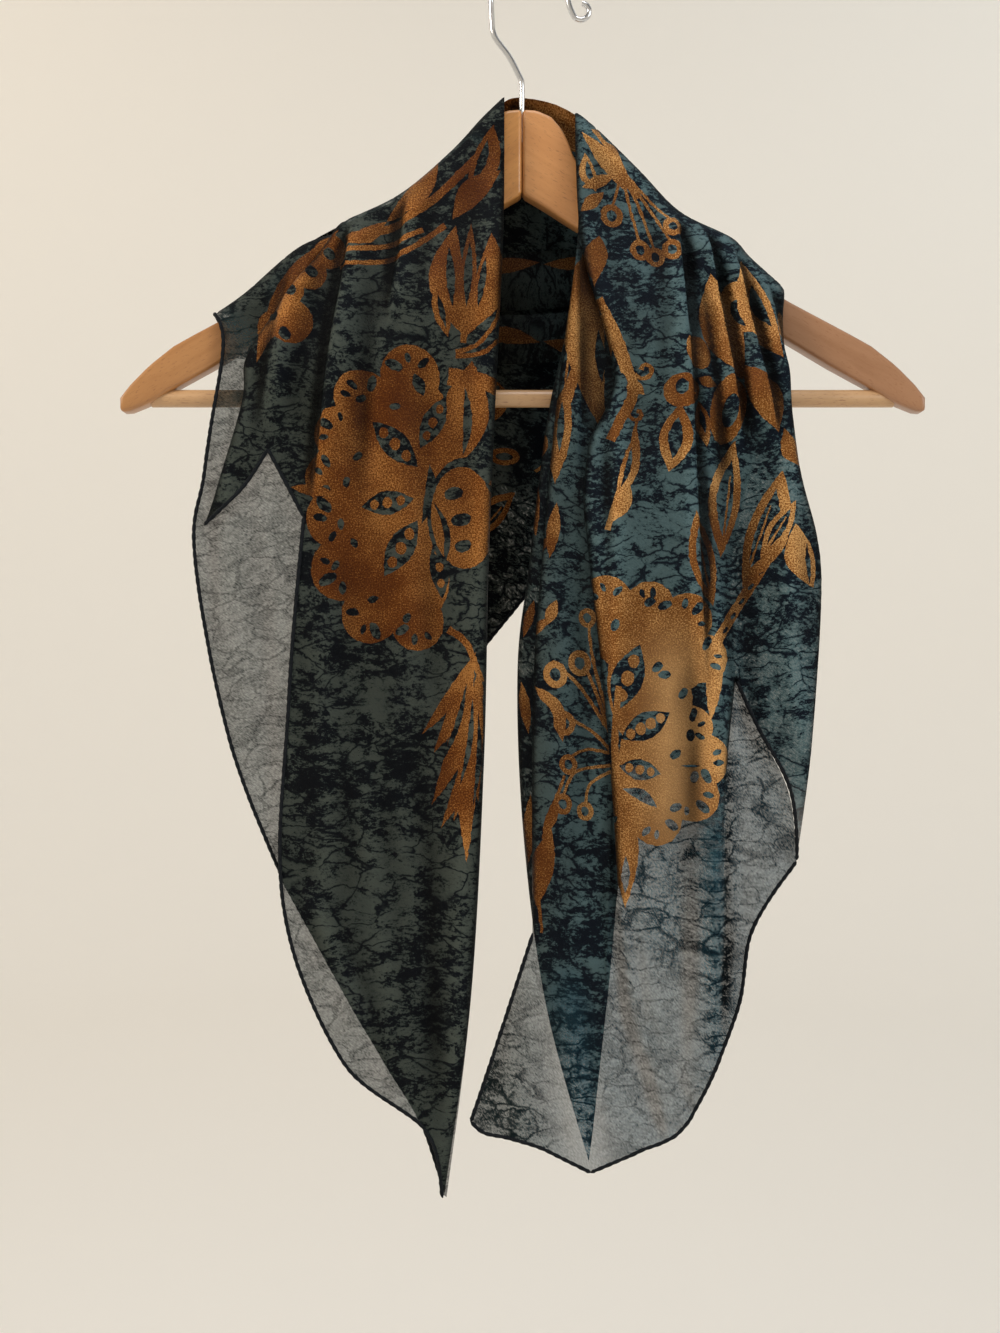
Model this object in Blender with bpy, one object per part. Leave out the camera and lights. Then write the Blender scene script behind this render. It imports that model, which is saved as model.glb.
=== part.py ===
"""Chiffon scarf on a wooden hanger: a square folded on its diagonal and hung like a shawl.

Metres, +Z up, the front faces -Y.  The origin is the inside top of the wire hook, where a rail holds it.
Outlines are given in millimetres, as a maker would note them, and turned into metres by MM.
"""
import math

import bmesh
import bpy
from mathutils import Vector
from mathutils.geometry import delaunay_2d_cdt

MM = 0.001
GAP = 0.3 * MM

# ---- driving dimensions -------------------------------------------------------------------------------
CENTRE_X = -4.2 * MM          # the hanger's mitre joint, just left of the hook's top
HALF_SPAN = 218 * MM          # from the mitre to the tip of an arm
ARM_SWEEP = 22 * MM           # how far the tips stand forward of the middle
WOOD_THICK = 13 * MM
WOOD_BEVEL = 1.5 * MM
WIRE = 3.2 * MM               # hook wire diameter
HOOK_RADIUS = 21.4 * MM       # hook bend, to the middle of the wire
EYE_RADIUS = 4.6 * MM
BAR_DIAMETER = 9.5 * MM
BAR_HEIGHT = -242 * MM
BAR_LENGTH = 404 * MM
CLOTH = 1.5 * MM              # wall of each stretch of cloth
MESH_STEP = 15 * MM           # spacing of points inside a stretch
ROUND = 10 * MM               # how soon the cloth turns down over an arm

# Arm profile, a row for each section: distance from the mitre, top edge, bottom edge.
ARM_SECTIONS = (
    # out, top, bottom
    (0, -80, -127),
    (8, -80.5, -131.5),
    (16, -84, -136.5),
    (22, -91, -140.5),
    (26, -99, -143),
    (29, -108, -145),
    (45, -122, -153.5),
    (75, -143, -169),
    (110, -166, -188.5),
    (145, -188, -210),
    (170, -202.5, -226),
    (188, -213, -236.5),
    (202, -225, -245.5),
    (212, -236, -250),
    (217, -243, -250.5),
)

# The edges of the stretches, each a short table with the columns x and z in millimetres and a row for
# each place where the edge turns; a smooth line runs through the rows, from start to end.
SHOULDER_LEFT = ((-8, -69), (-14, -72), (-27, -84.5), (-44, -103), (-72, -127), (-102, -142), (-127, -157),
                 (-156, -183), (-172, -195))
SHOULDER_RIGHT = ((-8, -69), (9, -72), (25, -80), (39, -92), (61, -114), (83, -137), (111, -152),
                  (121, -163), (139, -180))
LEFT_OUTER_FOLD = ((-102, -142), (-132, -190), (-152, -222), (-155, -248), (-175, -312))
LEFT_TONGUE = ((-175, -312), (-155, -294), (-140, -272))
LEFT_NOTCH = ((-140, -272), (-121, -308))
LEFT_LOW_HEM = ((-121, -308), (-129, -406), (-132, -515), (-100, -598), (-56, -635), (-47, -671))
LEFT_INNER_FOLD = ((-45, -672), (-32, -566), (-25, -440), (-22, -320), (-15, -165), (-14, -110))
LEFT_SIDE_HEM = ((-172, -195), (-166, -215), (-175, -283), (-180, -328), (-161, -428), (-132, -504))
LEFT_TIP_HEM = ((-132, -504), (-81, -594), (-59, -631), (-46, -669))
RIGHT_OUTER_FOLD = ((139, -180), (137, -208), (142, -275), (155, -335), (150, -427), (142, -491))
RIGHT_SIDE_HEM = ((142, -491), (138, -454), (122, -422), (109, -395))
RIGHT_INSIDE_EDGE = ((109, -395), (103, -450), (98, -545), (85, -560), (64, -550), (47, -513))
RIGHT_INNER_FOLD = ((47, -513), (40, -417), (31, -331), (28, -299), (31, -267))
RIGHT_COLLAR = ((31, -267), (44, -240), (42, -219), (28, -165), (25, -112), (25, -80))
UNDER_RIGHT_EDGE = ((139, -183.5), (128, -240), (108, -330), (109, -395))
UNDER_RIGHT_CURL = ((109, -395), (123, -424), (138, -456), (142, -492))
UNDER_RIGHT_HEM = ((142, -492), (118, -529), (110, -572), (84, -631), (57, -647), (32, -658))
UNDER_RIGHT_LOW_HEM = ((32, -658), (8, -646), (-12, -640), (-25, -637), (-32, -631))
UNDER_RIGHT_POINT = ((-32, -631), (-18, -590), (1, -531))
UNDER_RIGHT_FOLD = ((1, -531), (1, -406), (7, -319), (15, -237), (26, -150), (25, -85.5))
PLEAT_INNER_FOLD = ((20, -205), (9, -255), (-1, -335), (-7, -390), (-4, -476), (8, -568), (31, -652))
PLEAT_OUTER_EDGE = ((31, -652), (44, -535), (48, -450), (37, -331), (32, -205))
BACK_RIGHT_HEM = ((121, -163), (118, -196), (46, -288), (-44, -399))
BACK_LEFT_HEM = ((-44, -399), (-119, -294), (-146, -250), (-156, -183))

# Folds, a row for each: top end (x, z), bottom end (x, z), half width, rise towards the front.
LEFT_FOLDS = (
    # x0, z0, x1, z1, width, rise
    (-100, -150, -116, -262, 16, 5),
    (-60, -130, -70, -400, 34, 5),
    (-95, -300, -75, -560, 24, -3),
    (-30, -160, -35, -560, 14, 3),
)
RIGHT_FOLDS = (
    # x0, z0, x1, z1, width, rise
    (74, -125, 96, -290, 11, 6),
    (98, -150, 122, -262, 10, 5),
    (124, -172, 138, -236, 8, 4),
    (102, -340, 98, -600, 12, 6),
    (70, -250, 66, -520, 26, 4),
    (50, -560, 72, -640, 14, -4),
)
BACK_FOLDS = (
    # x0, z0, x1, z1, width, rise
    (-90, -190, -40, -380, 22, -5),
    (60, -170, 0, -350, 20, -5),
    (-20, -120, -30, -330, 18, 4),
)


def material(name, colour, roughness, metallic=0.0):
    """A Principled material."""
    made = bpy.data.materials.new(name)
    made.use_nodes = True
    shader = made.node_tree.nodes["Principled BSDF"]
    shader.inputs["Base Color"].default_value = (*colour, 1.0)
    shader.inputs["Roughness"].default_value = roughness
    shader.inputs["Metallic"].default_value = metallic
    return made


def smooth_run(points, steps=4):
    """Points of a smooth line through the given points (x, z), in metres."""
    spots = [Vector((x * MM, z * MM)) for x, z in points]
    line = []
    for i in range(len(spots) - 1):
        before = spots[max(i - 1, 0)]
        start, end = spots[i], spots[i + 1]
        after = spots[min(i + 2, len(spots) - 1)]
        for k in range(steps):
            t = k / steps
            line.append(0.5 * (2 * start + (end - before) * t
                               + (2 * before - 5 * start + 4 * end - after) * t ** 2
                               + (3 * start - before - 3 * end + after) * t ** 3))
    line.append(spots[-1])
    return line


def distance_to(line, spot):
    """Distance from a point to the nearest stretch of a line."""
    nearest = 1.0
    for a, b in zip(line, line[1:]):
        along = b - a
        t = min(max((spot - a).dot(along) / max(along.length_squared, 1e-12), 0.0), 1.0)
        nearest = min(nearest, (a + along * t - spot).length)
    return nearest


def arm_depth(x):
    """How far the middle of the wood stands forward at x."""
    return -ARM_SWEEP * ((x - CENTRE_X) / HALF_SPAN) ** 2


def smoothstep(value):
    """Soft step from 0 to 1."""
    t = min(max(value, 0.0), 1.0)
    return t * t * (3 - 2 * t)


def quarter_round(drop, radius):
    """0 at the top of a rounded edge, 1 once it has turned down."""
    t = 1 - min(max(drop / radius, 0.0), 1.0)
    return math.sqrt(1 - t * t)


def fold_rise(folds, x, z):
    """Forward push of all the folds at a point; each fades out over its ends and sides."""
    push = 0.0
    for x0, z0, x1, z1, width, rise in folds:
        start = Vector((x0, z0)) * MM
        along = Vector((x1, z1)) * MM - start
        spot = Vector((x, z)) - start
        t = spot.dot(along) / along.length_squared
        aside = abs(spot.x * along.y - spot.y * along.x) / along.length
        ends = smoothstep((t + 0.05) / 0.3) * smoothstep((1.05 - t) / 0.3)
        push += rise * MM * ends * math.exp(-(aside / (width * MM)) ** 2)
    return push


def front_depth(shoulder, clearance, hang, folds):
    """Depth of a front stretch: over the arm, down its face, then clear of the bar."""
    def depth(x, z):
        drop = distance_to(shoulder, Vector((x, z))) if shoulder else 1.0
        over = arm_depth(x) - clearance * quarter_round(drop, ROUND)
        fall = smoothstep((drop - 12 * MM) / (70 * MM))
        settle = smoothstep((drop - 25 * MM) / (60 * MM))
        return over + (hang - over) * fall - fold_rise(folds, x, z) * settle
    return depth


def back_depth(shoulder):
    """Depth of the back stretch: down behind the wood, further back at the neck."""
    def depth(x, z):
        drop = distance_to(shoulder, Vector((x, z)))
        neck = math.exp(-((x - CENTRE_X) / (18 * MM)) ** 2)
        start = arm_depth(x) + 2.2 * MM + 4.5 * MM * neck
        over = start + 10 * MM * quarter_round(drop, ROUND)
        fall = smoothstep((drop - 15 * MM) / (60 * MM))
        return over + (27 * MM - over) * fall - fold_rise(BACK_FOLDS, x, z) * fall
    return depth


def roll_depth(top, bottom, back, bulge):
    """Depth of a roll of cloth that swells towards the front between its edges."""
    def depth(x, z):
        t = min(max((top * MM - z) / ((top - bottom) * MM), 0.0), 1.0)
        return (back - bulge * math.sin(math.pi * t)) * MM
    return depth


def inside(outline, x, z):
    """Whether a point is inside an outline."""
    found = False
    for a, b in zip(outline, outline[1:] + outline[:1]):
        if (a.y > z) != (b.y > z) and x < (b.x - a.x) * (z - a.y) / (b.y - a.y) + a.x:
            found = not found
    return found


def even_points(line, step):
    """The line's points again, about a step apart, its two ends kept."""
    lengths = [0.0]
    for a, b in zip(line, line[1:]):
        lengths.append(lengths[-1] + (b - a).length)
    count = max(round(lengths[-1] / step), 1)
    even = []
    for k in range(count + 1):
        want = lengths[-1] * k / count
        i = max(j for j in range(len(lengths) - 1) if lengths[j] <= want + 1e-9)
        part = (want - lengths[i]) / max(lengths[i + 1] - lengths[i], 1e-9)
        even.append(line[i].lerp(line[i + 1], min(part, 1.0)))
    return even


def closer_points(line, shoulder):
    """More points where a line leaves the shoulder, so that the wall can turn down there."""
    close = []
    for a, b in zip(line, line[1:]):
        close.append(a)
        away = distance_to(shoulder, (a + b) / 2)
        if 1 * MM < away < 14 * MM:
            close += [a.lerp(b, part) for part in (0.15, 0.35, 0.6)]
    return close + [line[-1]]


def rows_below(shoulder):
    """Rows of points just inside the shoulder line, square to it."""
    rows = []
    line = even_points(shoulder, 0.7 * MESH_STEP)
    for drop in (1.2 * MM, 3 * MM, 6 * MM, 11 * MM):
        for i, spot in enumerate(line):
            along = line[min(i + 1, len(line) - 1)] - line[max(i - 1, 0)]
            down = Vector((along.y, -along.x)).normalized()
            if down.y > 0:
                down.negate()
            rows.append(spot + down * drop)
    return rows


def cloth(name, runs, depth, finish, shoulder=None):
    """A wall of cloth inside an outline of runs, at the depth a function gives, as one closed solid."""
    outline = []
    for run in runs:
        line = even_points(smooth_run(run), MESH_STEP)
        if shoulder:
            line = closer_points(line, shoulder)
        outline += line[:-1]
    closed = outline + outline[:1]
    low_x, high_x = min(p.x for p in outline), max(p.x for p in outline)
    low_z, high_z = min(p.y for p in outline), max(p.y for p in outline)
    fill = rows_below(shoulder) if shoulder else []
    rows = int((high_z - low_z) / (0.866 * MESH_STEP)) + 2
    for row in range(rows):
        z = low_z + row * 0.866 * MESH_STEP
        shift = 0.5 * MESH_STEP * (row % 2)
        for column in range(int((high_x - low_x) / MESH_STEP) + 2):
            spot = Vector((low_x + shift + column * MESH_STEP, z))
            near = shoulder and distance_to(shoulder, spot) < 17 * MM
            if not near and distance_to(closed, spot) > 0.55 * MESH_STEP:
                fill.append(spot)
    fill = [p for p in fill if inside(outline, p.x, p.y) and distance_to(closed, p) > 0.9 * MM]
    loop = list(range(len(outline)))
    spots, _, faces, _, _, _ = delaunay_2d_cdt(outline + fill, [], [loop], 1, 1e-6)
    sheet = bmesh.new()
    corners = [sheet.verts.new((p.x, depth(p.x, p.y), p.y)) for p in spots]
    for face in faces:
        sheet.faces.new([corners[i] for i in face])
    bmesh.ops.recalc_face_normals(sheet, faces=sheet.faces)
    sheet.faces.ensure_lookup_table()
    if sum(face.normal.y * face.calc_area() for face in sheet.faces) > 0:
        bmesh.ops.reverse_faces(sheet, faces=sheet.faces)
    sheet.normal_update()
    wall(sheet, CLOTH)
    return finished(name, sheet, finish)


def wall(sheet, thickness):
    """Turn an open sheet into a closed wall, half its thickness to each side."""
    normals = {corner: corner.normal.copy() for corner in sheet.verts}
    rim = [edge for edge in sheet.edges if edge.is_boundary]
    front_faces = list(sheet.faces)
    behind = {}
    for corner, normal in normals.items():
        behind[corner] = sheet.verts.new(corner.co - normal * thickness / 2)
        corner.co += normal * thickness / 2
    for edge in rim:
        loop = edge.link_loops[0]
        a, b = loop.vert, loop.link_loop_next.vert
        sheet.faces.new((b, a, behind[a]))
        sheet.faces.new((b, behind[a], behind[b]))
    for face in front_faces:
        sheet.faces.new([behind[corner] for corner in reversed(face.verts)])


def finished(name, mesh_work, finish, smooth=True):
    """Make the named object from a bmesh."""
    mesh = bpy.data.meshes.new(name)
    mesh_work.to_mesh(mesh)
    mesh_work.free()
    mesh.materials.append(finish)
    if smooth:
        mesh.shade_smooth()
        mesh.set_sharp_from_angle(angle=math.radians(40))
    thing = bpy.data.objects.new(name, mesh)
    bpy.context.collection.objects.link(thing)
    return thing


def nested(run, drop):
    """The same shoulder run, lower by a drop in millimetres: the layer below nests under the upper one."""
    return tuple((x, z - drop) for x, z in run)


def scarf(finish):
    """The eight stretches of cloth."""
    collar_left = SHOULDER_LEFT[1:6]
    cloth("left_tail_over",
          (collar_left, LEFT_OUTER_FOLD, LEFT_TONGUE, LEFT_NOTCH, LEFT_LOW_HEM, LEFT_INNER_FOLD,
           ((-14, -110), (-14, -72))),
          front_depth(smooth_run(collar_left), 15.5 * MM, -37 * MM, LEFT_FOLDS), finish,
          smooth_run(collar_left))
    under_left = ((-33, -98), *nested(SHOULDER_LEFT[3:6], 5), *SHOULDER_LEFT[6:])
    cloth("left_tail_under",
          (under_left, LEFT_SIDE_HEM, LEFT_TIP_HEM,
           ((-46, -669), *LEFT_INNER_FOLD[1:-1], (-14, -150)), ((-14, -150), (-20, -118), (-33, -98))),
          front_depth(smooth_run(under_left), 12 * MM, -32 * MM, LEFT_FOLDS), finish,
          smooth_run(under_left))
    collar_right = SHOULDER_RIGHT[2:]
    cloth("right_tail_front",
          (collar_right, RIGHT_OUTER_FOLD, RIGHT_SIDE_HEM, RIGHT_INSIDE_EDGE, RIGHT_INNER_FOLD,
           RIGHT_COLLAR),
          front_depth(smooth_run(collar_right), 15.5 * MM, -40 * MM, RIGHT_FOLDS), finish,
          smooth_run(collar_right))
    under_right = (*nested(SHOULDER_RIGHT[2:-2], 5.5), (121, -167), (139, -183.5))
    cloth("right_tail_under",
          (under_right, UNDER_RIGHT_EDGE, UNDER_RIGHT_CURL, UNDER_RIGHT_HEM, UNDER_RIGHT_LOW_HEM,
           UNDER_RIGHT_POINT, UNDER_RIGHT_FOLD),
          front_depth(smooth_run(under_right), 12 * MM, -35 * MM, RIGHT_FOLDS), finish,
          smooth_run(under_right))
    cloth("right_tail_pleat",
          (PLEAT_INNER_FOLD, PLEAT_OUTER_EDGE, ((32, -205), (20, -205))),
          front_depth(None, 0.0, -31 * MM, RIGHT_FOLDS), finish)
    cloth("neck_roll_upper",
          (((-44, -153), (-15, -155), (18, -153), (36, -151)), ((36, -151), (38, -181)),
           ((38, -181), (20, -185), (-15, -187), (-46, -184)), ((-46, -184), (-44, -153))),
          roll_depth(-150, -187, 15, 7), finish)
    cloth("neck_roll_lower",
          (((-44, -187), (-15, -190), (20, -188), (42, -184)), ((42, -184), (42, -210)),
           ((42, -210), (20, -215), (-15, -217), (-44, -215)), ((-44, -215), (-44, -187))),
          roll_depth(-182, -217, 16, 6), finish)
    ridge = tuple(reversed(SHOULDER_LEFT[:8])) + SHOULDER_RIGHT[1:8]
    cloth("back_panel", (ridge, BACK_RIGHT_HEM, BACK_LEFT_HEM), back_depth(smooth_run(ridge)), finish,
          smooth_run(ridge))


def ring(out, top, bottom, side):
    """One section of an arm: a rectangle with bevelled corners, across the arm at this distance."""
    x = CENTRE_X + side * out
    y = arm_depth(x)
    half = WOOD_THICK / 2
    b = WOOD_BEVEL
    corners = ((-half + b, top), (half - b, top), (half, top - b), (half, bottom + b),
               (half - b, bottom), (-half + b, bottom), (-half, bottom + b), (-half, top - b))
    return [Vector((x, y + dy, z)) for dy, z in corners]


def arm(name, side, finish):
    """One shaped half of the wooden hanger, with the blind holes for the hook and the bar."""
    work = bmesh.new()
    rings = []
    for out, top, bottom in ARM_SECTIONS:
        reach = max(out * MM, GAP / 2)
        rings.append([work.verts.new(p) for p in ring(reach, top * MM, bottom * MM, side)])
    for one, two in zip(rings, rings[1:]):
        for i in range(len(one)):
            j = (i + 1) % len(one)
            work.faces.new((one[i], one[j], two[j], two[i]))
    work.faces.new(rings[0])
    work.faces.new(rings[-1])
    bmesh.ops.recalc_face_normals(work, faces=work.faces)
    made = finished(name, work, finish)
    drill(made, "hook_hole", (CENTRE_X, 0, -80 * MM), WIRE / 2 + GAP, 36 * MM, upright=True)
    drill(made, "bar_hole_" + name, (CENTRE_X, bar_depth(), BAR_HEIGHT), BAR_DIAMETER / 2 + GAP,
          BAR_LENGTH + 2 * GAP, upright=False)
    return made


def bar_depth():
    """Depth of the bar: it runs between the tips of the arms."""
    return arm_depth(CENTRE_X + BAR_LENGTH / 2) + 1 * MM


def drill(solid, name, centre, radius, length, upright):
    """Cut a round hole with a hidden cylinder."""
    turn = (0, 0, 0) if upright else (0, math.pi / 2, 0)
    bpy.ops.mesh.primitive_cylinder_add(vertices=24, radius=radius, depth=length, location=centre,
                                        rotation=turn)
    cutter = bpy.context.object
    cutter.name = name
    cutter.hide_render = True
    cutter.display_type = "WIRE"
    cut = solid.modifiers.new(name, "BOOLEAN")
    cut.object = cutter
    cut.operation = "DIFFERENCE"
    cut.solver = "EXACT"


def bar(finish):
    """The round trouser bar between the arms."""
    bpy.ops.mesh.primitive_cylinder_add(vertices=24, radius=BAR_DIAMETER / 2, depth=BAR_LENGTH,
                                        location=(CENTRE_X, bar_depth(), BAR_HEIGHT),
                                        rotation=(0, math.pi / 2, 0))
    rod = bpy.context.object
    rod.name = "hanger_bar"
    rod.data.materials.append(finish)
    rod.data.shade_smooth()
    rod.data.set_sharp_from_angle(angle=math.radians(40))


def arc(centre_x, centre_z, radius, start, end, count):
    """Points of an arc in the hook's plane, angles in degrees from +X."""
    points = []
    for k in range(count + 1):
        angle = math.radians(start + (end - start) * k / count)
        points.append((centre_x + radius * math.cos(angle), centre_z + radius * math.sin(angle)))
    return points


def hook(finish):
    """The wire hook: shank, slant, bend and a small closed eye at its free end."""
    bend_z = WIRE / 2 - HOOK_RADIUS
    shank = [(CENTRE_X, -97 * MM), (CENTRE_X, -70 * MM), (CENTRE_X, -63.5 * MM),
             (CENTRE_X - 0.8 * MM, -60.5 * MM), (-17.6 * MM, -41 * MM), (-20.4 * MM, -34 * MM)]
    bend = arc(0, bend_z, HOOK_RADIUS, 190, 8, 22)
    eye_x, eye_z = 28.5 * MM, -24 * MM
    eye = arc(eye_x, eye_z, EYE_RADIUS, 205, 440, 14)
    route = shank + bend + [(22.2 * MM, -21.5 * MM)] + eye
    curve = bpy.data.curves.new("hanger_hook", "CURVE")
    curve.dimensions = "3D"
    curve.bevel_depth = WIRE / 2
    curve.bevel_resolution = 2
    curve.use_fill_caps = True
    line = curve.splines.new("POLY")
    line.points.add(len(route) - 1)
    for point, (x, z) in zip(line.points, route):
        point.co = (x, 0, z, 1)
    curve.materials.append(finish)
    bpy.context.collection.objects.link(bpy.data.objects.new("hanger_hook", curve))


def main():
    """Build the hanger and the scarf on it."""
    for old in list(bpy.data.objects):
        bpy.data.objects.remove(old, do_unlink=True)
    beech = material("beech", (0.62, 0.36, 0.19), 0.42)
    pale_beech = material("pale_beech", (0.70, 0.46, 0.26), 0.45)
    chrome = material("chrome", (0.75, 0.75, 0.76), 0.16, 1.0)
    chiffon = material("chiffon", (0.055, 0.10, 0.115), 0.72)
    arm("hanger_arm_left", -1, beech)
    arm("hanger_arm_right", 1, beech)
    bar(pale_beech)
    hook(chrome)
    scarf(chiffon)


main()
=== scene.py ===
"""Looks of a chiffon scarf that hangs, folded on its diagonal, over a wooden hanger.

Metres, +Z up, the front faces -Y, and the origin is the inside top of the wire hook.  Outlines, folds and
motifs are noted in millimetres, as a maker would note them, and turned into metres by MM.
"""
from __future__ import annotations

import logging
import math
from dataclasses import dataclass, field
from enum import Enum
from typing import Optional, Sequence, Union

import bmesh
import bpy
import numpy as np
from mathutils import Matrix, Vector, noise
from mathutils.geometry import delaunay_2d_cdt


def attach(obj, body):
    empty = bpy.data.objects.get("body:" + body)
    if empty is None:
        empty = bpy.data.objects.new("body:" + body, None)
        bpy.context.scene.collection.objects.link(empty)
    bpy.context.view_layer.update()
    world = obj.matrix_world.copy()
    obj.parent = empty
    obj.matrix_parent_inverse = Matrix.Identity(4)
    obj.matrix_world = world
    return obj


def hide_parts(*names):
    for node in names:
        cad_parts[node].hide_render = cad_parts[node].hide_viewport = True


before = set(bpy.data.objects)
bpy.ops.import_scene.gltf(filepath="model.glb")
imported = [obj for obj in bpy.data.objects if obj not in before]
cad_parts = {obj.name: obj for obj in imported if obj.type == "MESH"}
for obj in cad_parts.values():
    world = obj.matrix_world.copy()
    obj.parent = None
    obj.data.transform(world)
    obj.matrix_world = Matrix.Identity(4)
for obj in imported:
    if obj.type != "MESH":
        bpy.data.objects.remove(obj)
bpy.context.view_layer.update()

LOG = logging.getLogger("chiffon_scarf")
MM = 0.001
Point = tuple[float, float]
Run = tuple[Point, ...]
Paint = tuple[np.ndarray, float]
Colour = tuple[float, float, float]
Place = tuple[float, float, float]
# The attributes that the chiffon reads: hollow is painted shade in the troughs and a painted highlight on
# the ridges, deep painted shade inside pleats and over the neck rolls, and glow painted light coming through
# the print.
MARKS = ("copper", "dense", "veil", "haze", "painted_fold_shading", "deep", "glow")

# ---- sizes that the cloth shares with the hanger ------------------------------------------------------
CENTRE_X = -4.2 * MM
HALF_SPAN = 218 * MM
ARM_SWEEP = 22 * MM
ROUND = 10 * MM
WIRE = 3.2 * MM
HOOK_RADIUS = 21.4 * MM
EYE_RADIUS = 4.6 * MM
BAR_DIAMETER = 9.5 * MM
BAR_HEIGHT = -242 * MM
BAR_LENGTH = 404 * MM
WEAVE_STEP = 2.5 * MM

# The edges of the stretches, each a short table with the columns x and z in millimetres and a row for
# each place where the edge turns; a smooth line runs through the rows, from start to end.
SHOULDER_LEFT: Run = ((-8, -69), (-14, -72), (-27, -84.5), (-44, -103), (-72, -127), (-102, -142),
                      (-127, -157), (-156, -183), (-172, -195))
SHOULDER_RIGHT: Run = ((-8, -69), (9, -72), (25, -80), (39, -92), (61, -114), (83, -137), (111, -152),
                       (121, -163), (139, -180))
LEFT_OUTER_FOLD: Run = ((-102, -142), (-132, -190), (-152, -222), (-155, -248), (-175, -312))
LEFT_TONGUE: Run = ((-175, -312), (-155, -294), (-140, -272))
LEFT_NOTCH: Run = ((-140, -272), (-121, -308))
LEFT_LOW_HEM: Run = ((-121, -308), (-129, -406), (-132, -515), (-100, -598), (-56, -635), (-47, -671))
LEFT_INNER_FOLD: Run = ((-45, -672), (-32, -566), (-25, -440), (-22, -320), (-15, -165), (-14, -110))
LEFT_SIDE_HEM: Run = ((-172, -195), (-166, -215), (-175, -283), (-180, -328), (-161, -428), (-132, -504))
LEFT_TIP_HEM: Run = ((-132, -504), (-81, -594), (-59, -631), (-46, -669))
RIGHT_OUTER_FOLD: Run = ((139, -180), (137, -208), (142, -275), (155, -335), (150, -427), (142, -491))
RIGHT_SIDE_HEM: Run = ((142, -491), (138, -454), (122, -422), (109, -395))
RIGHT_INSIDE_EDGE: Run = ((109, -395), (103, -450), (98, -545), (85, -560), (64, -550), (47, -513))
RIGHT_INNER_FOLD: Run = ((47, -513), (40, -417), (31, -331), (28, -299), (31, -267))
RIGHT_COLLAR: Run = ((31, -267), (44, -240), (42, -219), (28, -165), (25, -112), (25, -80))
UNDER_RIGHT_EDGE: Run = ((139, -183.5), (128, -240), (108, -330), (109, -395))
UNDER_RIGHT_CURL: Run = ((109, -395), (123, -424), (138, -456), (142, -492))
UNDER_RIGHT_HEM: Run = ((142, -492), (118, -529), (110, -572), (84, -631), (57, -647), (32, -658))
UNDER_RIGHT_LOW_HEM: Run = ((32, -658), (8, -646), (-12, -640), (-25, -637), (-32, -631))
UNDER_RIGHT_POINT: Run = ((-32, -631), (-18, -590), (1, -531))
UNDER_RIGHT_FOLD: Run = ((1, -531), (1, -406), (7, -319), (15, -237), (26, -150), (25, -85.5))
PLEAT_INNER_FOLD: Run = ((20, -205), (9, -255), (-1, -335), (-7, -390), (-4, -476), (8, -568), (31, -652))
PLEAT_OUTER_EDGE: Run = ((31, -652), (44, -535), (48, -450), (37, -331), (32, -205))
BACK_RIGHT_HEM: Run = ((121, -163), (118, -196), (46, -288), (-44, -399))
BACK_LEFT_HEM: Run = ((-44, -399), (-119, -294), (-146, -250), (-156, -183))


class Held(Enum):
    """How a sheet of cloth is held."""

    DRAPED = "draped"


@dataclass(frozen=True)
class Fold:
    """A soft ridge or trough from one point (x, z) to another, in millimetres.

    A positive rise stands forward and a negative one falls back.  A positive lean makes its right side
    steep and its left side gentle.
    """

    start: Point
    end: Point
    width: float
    rise: float
    lean: float = 0.0


LEFT_FOLDS = (
    Fold((-100, -150), (-116, -262), 16, 5),
    Fold((-60, -130), (-70, -400), 34, 5),
    Fold((-95, -300), (-75, -560), 24, -3),
    Fold((-30, -160), (-35, -560), 14, 3),
)
LEFT_CREASES = (
    Fold((-94, -128), (-115, -300), 12, 9.0, -0.88),
    Fold((-63, -110), (-75, -205), 11, 5.0, -0.86),
    Fold((-40, -100), (-54, -200), 12, 2.6, -0.5),
    Fold((-124, -150), (-142, -262), 8, 4.0, -0.6),
    Fold((-122, -172), (-140, -262), 6, 2.6, -0.4),
    Fold((-84, -170), (-92, -300), 9, -2.6, 0.3),
    Fold((-24, -120), (-27, -360), 6, 2.0),
    Fold((-60, -200), (-50, -420), 12, -2.2),
    Fold((-112, -330), (-108, -540), 9, 2.2),
    Fold((-58, -420), (-50, -640), 8, -2.6),
    Fold((-92, -430), (-70, -610), 9, 2.4),
    Fold((-36, -430), (-40, -640), 6, 2.0),
    Fold((-160, -290), (-150, -430), 8, 2.6),
    Fold((-172, -260), (-168, -380), 5, -1.8),
    Fold((-140, -330), (-136, -470), 6, -1.8),
    Fold((-120, -500), (-84, -590), 6, 1.8),
)
RIGHT_FOLDS = (
    Fold((74, -125), (96, -290), 11, 6),
    Fold((98, -150), (122, -262), 10, 5),
    Fold((124, -172), (138, -236), 8, 4),
    Fold((102, -340), (98, -600), 12, 6),
    Fold((70, -250), (66, -520), 26, 4),
    Fold((50, -560), (72, -640), 14, -4),
)
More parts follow.
